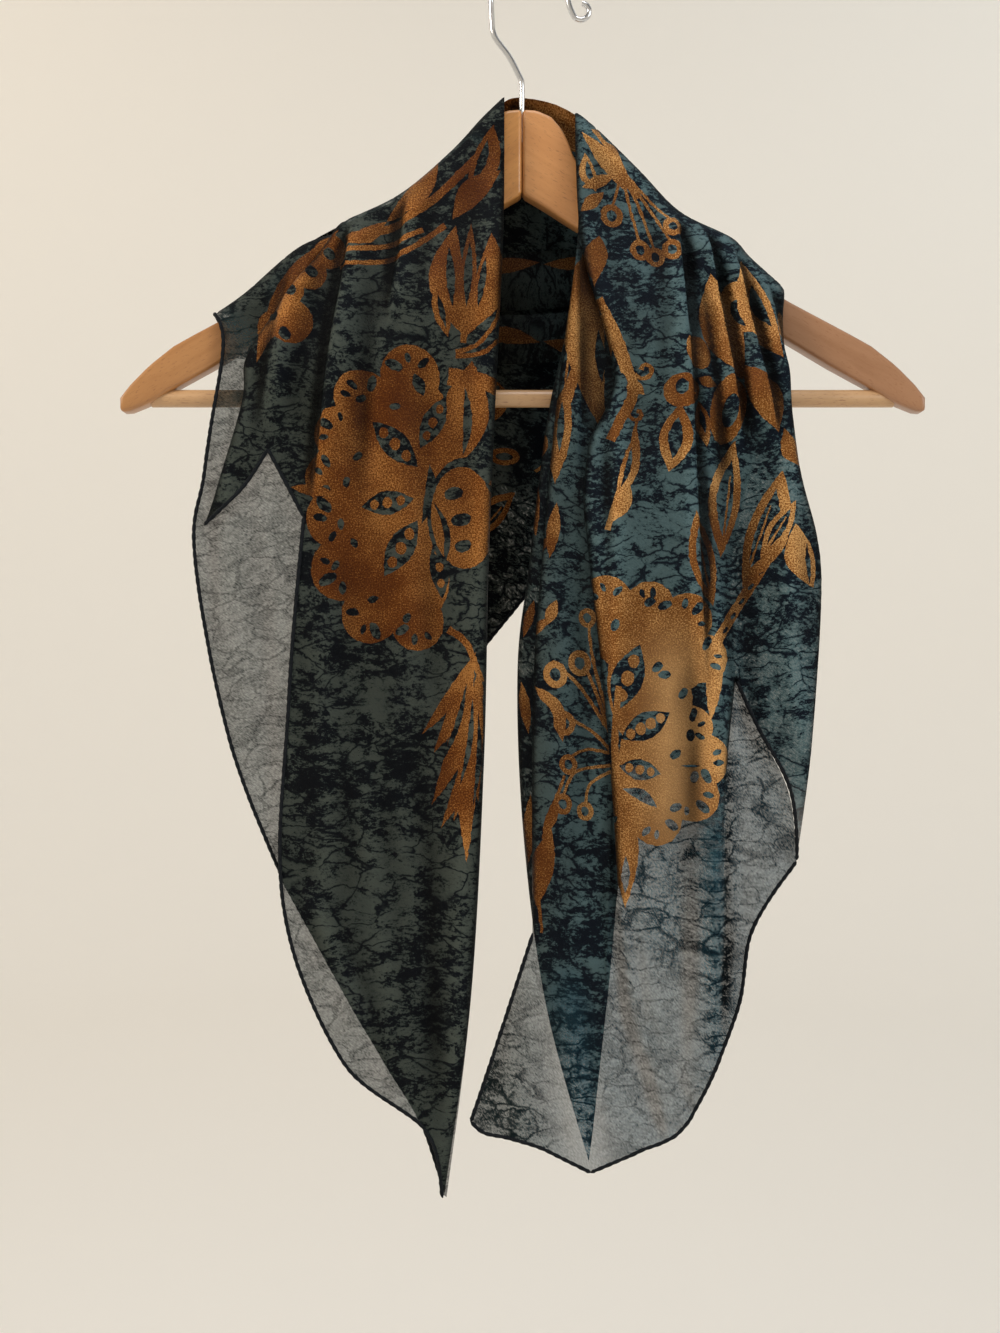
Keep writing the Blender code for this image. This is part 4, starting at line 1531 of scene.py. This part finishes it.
        # hollow is painted shade where the cloth lies back from its neighbours and a painted highlight where
        # it stands forward, and each run of shadows adds a painted shadow beside it.
        around = [self.depth(spots + np.array([dx, 0.3 * dx]) * MM) for dx in (-7, -3.5, 3.5, 7)]
        painted_fold_shading = np.clip((self.depth(spots) - np.mean(around, axis=0)) / (1.7 * MM), -1, 1.3)
        for run, reach, depth in self.shadows:
            near = np.exp(-(distance(spots, smooth_line(run, 4 * MM)) / (reach * MM)) ** 2)
            painted_fold_shading = np.maximum(painted_fold_shading, depth * near)
        mesh.attributes.new("painted_fold_shading", "FLOAT", "POINT").data.foreach_set("value", painted_fold_shading)
        for key, bands in (("haze", self.haze), ("glow", self.glow)):
            band = fold_rise(bands, spots) / MM
            mesh.attributes.new(key, "FLOAT", "POINT").data.foreach_set("value", band)
        dx, dz, turn = self.shift
        a = math.radians(turn)
        u = (spots[:, 0] + dx) * math.cos(a) - (spots[:, 1] + dz) * math.sin(a)
        v = (spots[:, 0] + dx) * math.sin(a) + (spots[:, 1] + dz) * math.cos(a)
        corners = np.zeros(len(mesh.loops), int)
        mesh.loops.foreach_get("vertex_index", corners)
        layer = mesh.uv_layers.new(name="cloth")
        layer.uv.foreach_set("vector", np.column_stack([u, v])[corners].ravel())

    def hem(self, finish: bpy.types.Material) -> Optional[bpy.types.Object]:
        """Roll the hems of this stretch: a thin uneven tube along each hemmed run, one joined piece.

        Args:
            finish: the thread.

        Returns:
            The hems, or None where the stretch has none.
        """
        if not self.hemmed:
            return None
        corners, faces = [], []
        sides = 8
        for index in self.hemmed:
            line = smooth_line(self.runs[index], 1.6 * MM)
            path = np.column_stack([line[:, 0], self.depth(line), line[:, 1]])
            ahead = np.gradient(path, axis=0)
            ahead /= np.linalg.norm(ahead, axis=1)[:, None]
            across = np.cross(ahead, (0, 1, 0))
            across /= np.linalg.norm(across, axis=1)[:, None]
            out = np.cross(ahead, across)
            first = len(corners)
            for k in range(len(path)):
                bead = 1 + 0.16 * math.sin(2.1 * k) + 0.14 * noise.noise(Vector((k * 0.21, index, 4.0)))
                radius = self.hem_radius * bead
                if k in (0, len(path) - 1):
                    radius *= 0.35
                for s in range(sides):
                    t = 2 * math.pi * s / sides
                    corners.append(path[k] + radius * (math.cos(t) * across[k] + math.sin(t) * out[k]))
            for k in range(len(path) - 1):
                for s in range(sides):
                    a, b = first + k * sides + s, first + k * sides + (s + 1) % sides
                    faces.append((a, b, b + sides, a + sides))
            last = first + (len(path) - 1) * sides
            faces.append(tuple(first + s for s in reversed(range(sides))))
            faces.append(tuple(last + s for s in range(sides)))
        mesh = bpy.data.meshes.new(self.name + "_hem")
        mesh.from_pydata(corners, [], faces)
        work = bmesh.new()
        work.from_mesh(mesh)
        bmesh.ops.recalc_face_normals(work, faces=work.faces)
        work.to_mesh(mesh)
        work.free()
        mesh.materials.append(finish)
        mesh.shade_smooth()
        piece = bpy.data.objects.new(self.name + "_hem", mesh)
        bpy.context.collection.objects.link(piece)
        return piece

    def flat_size(self) -> tuple[tuple[float, float], float]:
        """Measure the stretch's cut.

        Returns:
            Its width and length laid flat, and its area.
        """
        x, z = self.outline[:, 0], self.outline[:, 1]
        area = abs(np.dot(x, np.roll(z, -1)) - np.dot(z, np.roll(x, -1))) / 2
        size = self.outline.max(axis=0) - self.outline.min(axis=0)
        return (float(size[0]), float(size[1])), float(area)


class Scarf:
    """The square of chiffon, folded on its diagonal, in the stretches that show."""

    def __init__(self, cloth: bpy.types.Material, thread: bpy.types.Material) -> None:
        """Keep the two finishes."""
        self.cloth = cloth
        self.thread = thread

    def stretches(self) -> list[Stretch]:
        """All the stretches, from the back forwards.

        Returns:
            One Stretch for each solid of cloth.
        """
        return [self.back(), *self.rolls(), *self.left_tail(), *self.right_tail()]

    @staticmethod
    def back() -> Stretch:
        """Lay out the middle of the square, behind the hanger.

        Returns:
            The stretch.
        """
        ridge = tuple(reversed(SHOULDER_LEFT[:8])) + SHOULDER_RIGHT[1:8]
        return Stretch(
            "back_panel_cloth", "back_panel", (ridge, BACK_RIGHT_HEM, BACK_LEFT_HEM), BackDrape(ridge),
            back_design(), rests_on=("hanger_arm_left", "hanger_arm_right"), hemmed=(1, 2),
            shift=(0.31, 0.12, 20), all_dense=True, haze=(Fold((0, -60), (0, -300), 80, 0.5),))

    @classmethod
    def rolls(cls) -> list[Stretch]:
        """Lay out the two rolled folds that cross behind the hook, held up by the two collars.

        Returns:
            The upper and the lower roll.
        """
        collars = ("left_tail_over", "right_tail_under")
        upper = (((-44, -153), (-15, -155), (18, -153), (36, -151)), ((36, -151), (38, -181)),
                 ((38, -181), (20, -185), (-15, -187), (-46, -184)), ((-46, -184), (-44, -153)))
        lower = (((-44, -187), (-15, -190), (20, -188), (42, -184)), ((42, -184), (42, -210)),
                 ((42, -210), (20, -215), (-15, -217), (-44, -215)), ((-44, -215), (-44, -187)))
        # each roll's deep box paints shade over it
        return [
            Stretch("neck_roll_upper_cloth", "neck_roll_upper", upper, RollDrape(-150, -187, 15, 7, 2.0),
                    cls.roll_print(-163, 5), rests_on=collars, shift=(0.71, 0.4, 80), all_dense=True,
                    deep=(box(-60, -200, 60, -140),)),
            Stretch("neck_roll_lower_cloth", "neck_roll_lower", lower, RollDrape(-182, -217, 16, 6, 6.0),
                    cls.roll_print(-204, -4), rests_on=collars, shift=(0.9, 0.2, 95), all_dense=True,
                    deep=(box(-60, -225, 60, -180),)),
        ]

    @staticmethod
    def left_tail() -> list[Stretch]:
        """Lay out the left hanging point, whose two layers back each other.

        Returns:
            Its under layer and its upper one.
        """
        collar = SHOULDER_LEFT[1:6]
        over = Stretch(
            "left_tail_over_cloth", "left_tail_over",
            (collar, LEFT_OUTER_FOLD, LEFT_TONGUE, LEFT_NOTCH, LEFT_LOW_HEM, LEFT_INNER_FOLD,
             ((-14, -110), (-14, -72))),
            FrontDrape(collar, 15.5 * MM, -37 * MM, LEFT_FOLDS, LEFT_CREASES), left_design(),
            rests_on=("left_tail_under", "hanger_arm_left"), folded=(1, 5), hemmed=(2, 3, 4),
            haze=(Fold((-16, -50), (-17, -260), 12, 1.0), Fold((0, -60), (-120, -156), 13, 1.0)))
        under_top = ((-33, -98), *nested(SHOULDER_LEFT[3:6], 5), *SHOULDER_LEFT[6:])
        under = Stretch(
            "left_tail_under_cloth", "left_tail_under",
            (under_top, LEFT_SIDE_HEM, LEFT_TIP_HEM, ((-46, -669), *LEFT_INNER_FOLD[1:-1], (-14, -150)),
             ((-14, -150), (-20, -118), (-33, -98))),
            FrontDrape(under_top, 12 * MM, -32 * MM, LEFT_FOLDS, LEFT_CREASES), left_design(),
            rests_on=("hanger_arm_left",), folded=(3,), hemmed=(1, 2), shift=(0.13, 0.55, -12),
            dense=(over.outline,),
            haze=(Fold((-170, -170), (-120, -235), 16, 0.9), Fold((-20, -85), (-170, -190), 14, 1.0)),
            shadows=((LEFT_OUTER_FOLD[2:] + LEFT_TONGUE[1:] + LEFT_LOW_HEM[:3], 3.0, 0.55),))
        over.dense = (under.outline,)
        return [under, over]

    @staticmethod
    def right_tail() -> list[Stretch]:
        """Lay out the right hanging end.

        Returns:
            Its inner pleat, its under layer and its upper one.
        """
        pleat = Stretch(
            "right_tail_pleat_cloth", "right_tail_pleat",
            (PLEAT_INNER_FOLD, PLEAT_OUTER_EDGE, ((32, -205), (20, -205))),
            FrontDrape(None, 0.0, -31 * MM, RIGHT_FOLDS, RIGHT_CREASES), pleat_design(),
            rests_on=("right_tail_under",), folded=(0,), shift=(0.44, 0.9, 30), all_dense=True,
            fade=(PLEAT_INNER_FOLD[-1:] + PLEAT_OUTER_EDGE[:1], 110 * MM),
            shadows=((UNDER_RIGHT_FOLD[:4], 7.0, 0.7),))
        under_top = (*nested(SHOULDER_RIGHT[2:-2], 5.5), (121, -167), (139, -183.5))
        two_plies = np.array(((0, -60), (150, -60), (150, -300), (109, -395), (103, -430), (99, -440),
                              (44, -440), (40, -560), (-10, -500))) * MM
        # collar_pleat, given as deep, paints shade inside the pleat of the collar
        collar_pleat = np.array(((26.5, -160), (30, -166), (40, -190), (50, -220), (52, -250), (44, -262),
                                 (36, -266), (27.5, -258), (26, -220))) * MM
        under = Stretch(
            "right_tail_under_cloth", "right_tail_under",
            (under_top, UNDER_RIGHT_EDGE, UNDER_RIGHT_CURL, UNDER_RIGHT_HEM, UNDER_RIGHT_LOW_HEM,
             UNDER_RIGHT_POINT, UNDER_RIGHT_FOLD),
            FrontDrape(under_top, 12 * MM, -35 * MM, RIGHT_FOLDS, RIGHT_CREASES), under_right_design(),
            rests_on=("hanger_arm_right",), folded=(6,), hemmed=(3, 4, 5), shift=(-0.3, 0.35, 8),
            dense=(pleat.outline, two_plies),
            haze=(Fold((98, -400), (101, -625), 8, 0.60), Fold((72, -395), (70, -560), 32, 0.30),
                  Fold((30, -480), (40, -650), 12, 0.2), Fold((-34, -560), (2, -668), 20, 0.4),
                  Fold((20, -540), (32, -690), 15, -0.55), Fold((104, -330), (138, -500), 16, 0.24)),
            deep=(collar_pleat,),
            shadows=((RIGHT_COLLAR[::-1][:-1], 6.5, 1.0),
                     (RIGHT_COLLAR[1::-1] + RIGHT_INNER_FOLD[::-1], 5.5, 0.95),
                     (RIGHT_SIDE_HEM[:0:-1], 3.0, 0.45)))
        collar = SHOULDER_RIGHT[2:]
        front = Stretch(
            "right_tail_front_cloth", "right_tail_front",
            (collar, RIGHT_OUTER_FOLD, RIGHT_SIDE_HEM, RIGHT_INSIDE_EDGE, RIGHT_INNER_FOLD, RIGHT_COLLAR),
            FrontDrape(collar, 15.5 * MM, -40 * MM, RIGHT_FOLDS, RIGHT_CREASES), right_design(),
            rests_on=("right_tail_under", "hanger_arm_right"), folded=(1, 3, 4, 5), hemmed=(2,),
            shift=(0.05, -0.2, 0), all_dense=True, fade=(RIGHT_INSIDE_EDGE[2:], 112 * MM),
            haze=(Fold((72, -452), (70, -680), 36, -0.95),),
            glow=(Fold((74, -362), (78, -500), 17, 1.0),))
        return [pleat, under, front]

    @staticmethod
    def roll_print(z: float, slope: float) -> Motif:
        """Bands of copper that run over a neck roll.

        Args:
            z: height of the bands, in millimetres.
            slope: how far they rise from left to right.

        Returns:
            The print.
        """
        m = Motif()
        m.leaf((-34, z - slope), (6, z + 0.4 * slope), 4.6, 1.5)
        m.leaf((8, z + 0.2 * slope), (40, z + slope), 3.8, -1.5)
        return m

    def build(self) -> None:
        """Build every stretch and its hems, and log how many faces each sheet has."""
        for stretch in self.stretches():
            sheet = stretch.build(self.cloth)
            hem = stretch.hem(self.thread)
            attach(sheet, "root")
            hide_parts(stretch.node)
            if hem:
                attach(hem, "root")
            flat, area = stretch.flat_size()
            LOG.info("%s: %d faces", sheet.name, len(sheet.data.polygons))


# ---- the hanger ---------------------------------------------------------------------------------------
def use_only(thing: Optional[bpy.types.Object]) -> None:
    """Deselect everything, then select one object and make it active.

    Args:
        thing: the object, or None for nothing.
    """
    if bpy.context.object and bpy.context.object.mode != "OBJECT":
        bpy.ops.object.mode_set(mode="OBJECT")
    bpy.ops.object.select_all(action="DESELECT")
    if thing:
        thing.select_set(True)
        bpy.context.view_layer.objects.active = thing


@dataclass
class Hanger:
    """A contoured wooden hanger: two mitred arms, a round bar and a wire hook.

    All but wood and edge are in millimetres.  joint is half the gap between the arms, and shank, eye_neck
    and eye are the places (x, z) where the wire runs up out of the wood, turns into its eye and has the
    eye's centre.
    """

    wood: float = 13 * MM
    edge: float = 2.2 * MM
    joint: float = 0.15
    sections: tuple[tuple[float, float, float], ...] = (
        # out, top, bottom
        (0, -80, -127), (8, -80.5, -131.5), (16, -84, -136.5), (22, -91, -140.5), (26, -99, -143),
        (29, -108, -145), (45, -122, -153.5), (75, -143, -169), (110, -166, -188.5), (145, -188, -210),
        (170, -202.5, -226), (188, -213, -236.5), (202, -225, -245.5), (212, -236, -250),
        (217, -243, -250.5),
    )
    shank: Run = ((-4.2, -97), (-4.2, -70), (-4.2, -64.5), (-4.6, -62), (-5.8, -59.8), (-11, -49),
                  (-17.6, -41), (-19.7, -37.5), (-20.7, -33.5))
    eye_neck: Point = (22.2, -21.5)
    eye: Point = (28.5, -24)

    def arm(self, name: str, node: str, side: int, finish: bpy.types.Material) -> bpy.types.Object:
        """Shape one arm from a block: cut it across, move each cut to its section and round its edges.

        Args:
            name: the piece's name.
            node: the node it stands for.
            side: -1 for the left arm and 1 for the right one.
            finish: its wood.

        Returns:
            The arm.
        """
        rows = np.array(self.sections)
        reach = rows[-1, 0]
        outs = np.concatenate([np.linspace(self.joint, 30, 14), np.linspace(38, 200, 16),
                               np.linspace(204, reach, 6)])
        middle, height = -150 * MM, 40 * MM
        use_only(None)
        bpy.ops.mesh.primitive_cube_add(size=1, location=(0, 0, 0))
        block = bpy.context.object
        block.name = name
        bpy.ops.object.mode_set(mode="EDIT")
        bpy.ops.transform.resize(value=((reach - self.joint) * MM, self.wood, height))
        bpy.ops.transform.translate(value=((reach + self.joint) / 2 * MM, 0, middle))
        for out in outs[1:-1]:
            bpy.ops.mesh.select_all(action="SELECT")
            bpy.ops.mesh.bisect(plane_co=(out * MM, 0, 0), plane_no=(1, 0, 0))
        bpy.ops.object.mode_set(mode="OBJECT")
        for corner in block.data.vertices:
            out = corner.co.x / MM
            top = np.interp(out, rows[:, 0], rows[:, 1])
            bottom = np.interp(out, rows[:, 0], rows[:, 2])
            upper = corner.co.z > middle
            x = CENTRE_X + side * corner.co.x
            corner.co = (x, corner.co.y + float(arm_depth(x)), (top if upper else bottom) * MM)
        work = bmesh.new()
        work.from_mesh(block.data)
        bmesh.ops.recalc_face_normals(work, faces=work.faces)
        work.to_mesh(block.data)
        work.free()
        use_only(block)
        bevel = block.modifiers.new("round_edges", "BEVEL")
        bevel.width = self.edge
        bevel.segments = 4
        bevel.angle_limit = math.radians(50)
        bpy.ops.object.modifier_apply(modifier=bevel.name)
        bpy.ops.object.shade_smooth_by_angle(angle=math.radians(40))
        block.data.materials.append(finish)
        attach(block, "root")
        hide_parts(node)
        return block

    def bar(self, finish: bpy.types.Material) -> bpy.types.Object:
        """Turn the round bar, with softened ends.

        Args:
            finish: its wood.

        Returns:
            The bar.
        """
        use_only(None)
        depth = float(arm_depth(CENTRE_X + BAR_LENGTH / 2)) + 1 * MM
        bpy.ops.mesh.primitive_cylinder_add(vertices=48, radius=BAR_DIAMETER / 2, depth=BAR_LENGTH,
                                            location=(CENTRE_X, depth, BAR_HEIGHT),
                                            rotation=(0, math.pi / 2, 0))
        rod = bpy.context.object
        rod.name = "trouser_bar"
        bpy.ops.object.transform_apply(location=True, rotation=True, scale=True)
        bevel = rod.modifiers.new("soft_ends", "BEVEL")
        bevel.width = 0.8 * MM
        bevel.segments = 3
        bevel.angle_limit = math.radians(60)
        bpy.ops.object.modifier_apply(modifier=bevel.name)
        bpy.ops.object.shade_smooth_by_angle(angle=math.radians(40))
        rod.data.materials.append(finish)
        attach(rod, "root")
        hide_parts("hanger_bar")
        return rod

    @staticmethod
    def arc(middle: Point, radius: float, start: float, end: float, count: int) -> list[Point]:
        """Lay out an arc.

        Args:
            middle: its centre (x, z) in millimetres.
            radius: its radius in millimetres.
            start: where it starts, in degrees.
            end: where it ends.
            count: how many points.

        Returns:
            Its points, in order.
        """
        turns = np.radians(np.linspace(start, end, count))
        return [(middle[0] + radius * math.cos(a), middle[1] + radius * math.sin(a)) for a in turns]

    def hook(self, finish: bpy.types.Material) -> bpy.types.Object:
        """Bend the wire: shank, slant, bend and the small eye at its end.

        Args:
            finish: its plating.

        Returns:
            The hook.
        """
        route = list(self.shank)
        route += self.arc((0, (WIRE / 2 - HOOK_RADIUS) / MM), HOOK_RADIUS / MM, 190, 8, 41)
        route.append(self.eye_neck)
        route += self.arc(self.eye, EYE_RADIUS / MM, 205, 440, 25)
        use_only(None)
        bpy.ops.curve.primitive_bezier_curve_add(location=(0, 0, 0))
        wire = bpy.context.object
        wire.name = "wire_hook"
        wire.data.splines.clear()
        line = wire.data.splines.new("NURBS")
        line.points.add(len(route) - 1)
        for point, (x, z) in zip(line.points, route):
            point.co = (x * MM, 0, z * MM, 1)
        line.order_u = 3
        line.use_endpoint_u = True
        line.resolution_u = 3
        wire.data.dimensions = "3D"
        wire.data.bevel_depth = WIRE / 2
        wire.data.bevel_resolution = 5
        wire.data.use_fill_caps = True
        bpy.ops.object.convert(target="MESH")
        wire = bpy.context.object
        bpy.ops.object.shade_smooth_by_angle(angle=math.radians(40))
        wire.data.materials.append(finish)
        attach(wire, "root")
        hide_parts("hanger_hook")
        return wire

    def build(self) -> None:
        """Build the whole hanger."""
        # Painted light: the left arm's beech is lighter and warmer and the right arm's darker and cooler, as
        # the lamps on either side light them, and neck paints more light on the middle of each.
        left = BeechFinish("beech_left_painted_warm_light", 33.0, neck=(1.35, 1.30, 1.05)).material()
        right = BeechFinish("beech_right_painted_cool_shade", -33.0, (0.380, 0.188, 0.092), (0.322, 0.149, 0.066),
                            neck=(1.58, 1.48, 1.08)).material()
        level = BeechFinish("beech_bar", 0.0, (0.60, 0.36, 0.18), (0.50, 0.28, 0.125)).material()
        for piece in (self.arm("arm_left", "hanger_arm_left", -1, left),
                      self.arm("arm_right", "hanger_arm_right", 1, right),
                      self.bar(level), self.hook(ChromeFinish().material())):
            LOG.info("%s: %d faces", piece.name, len(piece.data.polygons))


# ---- studio -------------------------------------------------------------------------------------------
@dataclass
class Studio:
    """A pale round sweep of paper, soft lights and the camera."""

    middle: Place = (-0.0164, 0.0, -0.3878)
    camera_away: float = 0.9
    frame_height: float = 0.7406
    floor: float = -1.05

    def sweep(self) -> None:
        """Spin a floor that curves up into a wall all round."""
        use_only(None)
        radius, curve, top = 2.3, 0.7, 1.7
        profile = [(0.001, self.floor)]
        for k in range(13):
            a = math.radians(-90 + 90 * k / 12)
            profile.append((radius + curve * math.cos(a), self.floor + curve + curve * math.sin(a)))
        profile.append((radius + curve, top))
        mesh = bpy.data.meshes.new("studio_sweep")
        mesh.from_pydata([(x, 0, z) for x, z in profile], [(i, i + 1) for i in range(len(profile) - 1)], [])
        paper = bpy.data.objects.new("studio_sweep", mesh)
        bpy.context.collection.objects.link(paper)
        use_only(paper)
        bpy.ops.object.mode_set(mode="EDIT")
        bpy.ops.mesh.select_all(action="SELECT")
        bpy.ops.mesh.spin(steps=96, angle=2 * math.pi, center=(0, 0, 0), axis=(0, 0, 1))
        bpy.ops.mesh.select_all(action="SELECT")
        bpy.ops.mesh.remove_doubles(threshold=0.002)
        bpy.ops.mesh.normals_make_consistent(inside=True)
        bpy.ops.object.mode_set(mode="OBJECT")
        paper.data.shade_smooth()
        paper.data.materials.append(PaperFinish().material())

    @staticmethod
    def softbox(name: str, place: Place, size: float, power: float, colour: Colour,
                aim: Place = (0, 0, -0.35)) -> None:
        """Hang a square soft light.

        Args:
            name: the lamp's name.
            place: where it hangs.
            size: its side in metres.
            power: its power in watts.
            colour: its colour (r, g, b).
            aim: the place that it faces.
        """
        data = bpy.data.lights.new(name, "AREA")
        data.size = size
        data.energy = power
        data.color = colour
        lamp = bpy.data.objects.new(name, data)
        lamp.location = place
        lamp.rotation_euler = (Vector(aim) - Vector(place)).to_track_quat("-Z", "Y").to_euler()
        bpy.context.collection.objects.link(lamp)

    def build(self) -> None:
        """Set up the sweep, the lights and the camera."""
        self.sweep()
        self.softbox("lamp_left", (-1.35, -0.80, 0.50), 0.45, 13, (1.0, 0.93, 0.82))
        self.softbox("window_right", (1.3, -1.1, 0.2), 0.7, 9, (0.84, 0.93, 1.0))
        self.softbox("ceiling", (0.1, -0.45, 1.1), 0.8, 8, (0.98, 0.98, 1.0))
        self.softbox("wash_left", (-1.2, 1.2, 1.5), 1.2, 11, (1.0, 0.82, 0.60), (-0.9, 2.9, -0.2))
        self.softbox("wash_right", (1.2, 1.2, 1.5), 1.2, 9.5, (0.84, 0.94, 1.0), (0.9, 2.9, -0.2))
        world = bpy.data.worlds.new("studio_air")
        world.use_nodes = True
        world.node_tree.nodes["Background"].inputs[0].default_value = (1.0, 0.97, 0.93, 1)
        world.node_tree.nodes["Background"].inputs[1].default_value = 0.20
        bpy.context.scene.world = world
        view = bpy.context.scene.view_settings
        view.view_transform = "Standard"
        data = bpy.data.cameras.new("camera")
        data.sensor_width = 36
        data.lens = 36 * self.camera_away / self.frame_height
        camera = bpy.data.objects.new("camera", data)
        camera.location = (self.middle[0], -self.camera_away, self.middle[2])
        camera.rotation_euler = (math.pi / 2, 0, 0)
        bpy.context.collection.objects.link(camera)
        bpy.context.scene.camera = camera


def main() -> None:
    """Build the hanger, the scarf and the studio, in that order."""
    logging.basicConfig(level=logging.INFO, format="%(name)s %(message)s")
    Hanger().build()
    Scarf(ChiffonFinish().material(), HemFinish().material()).build()
    Studio().build()


if __name__ == "__main__":
    main()
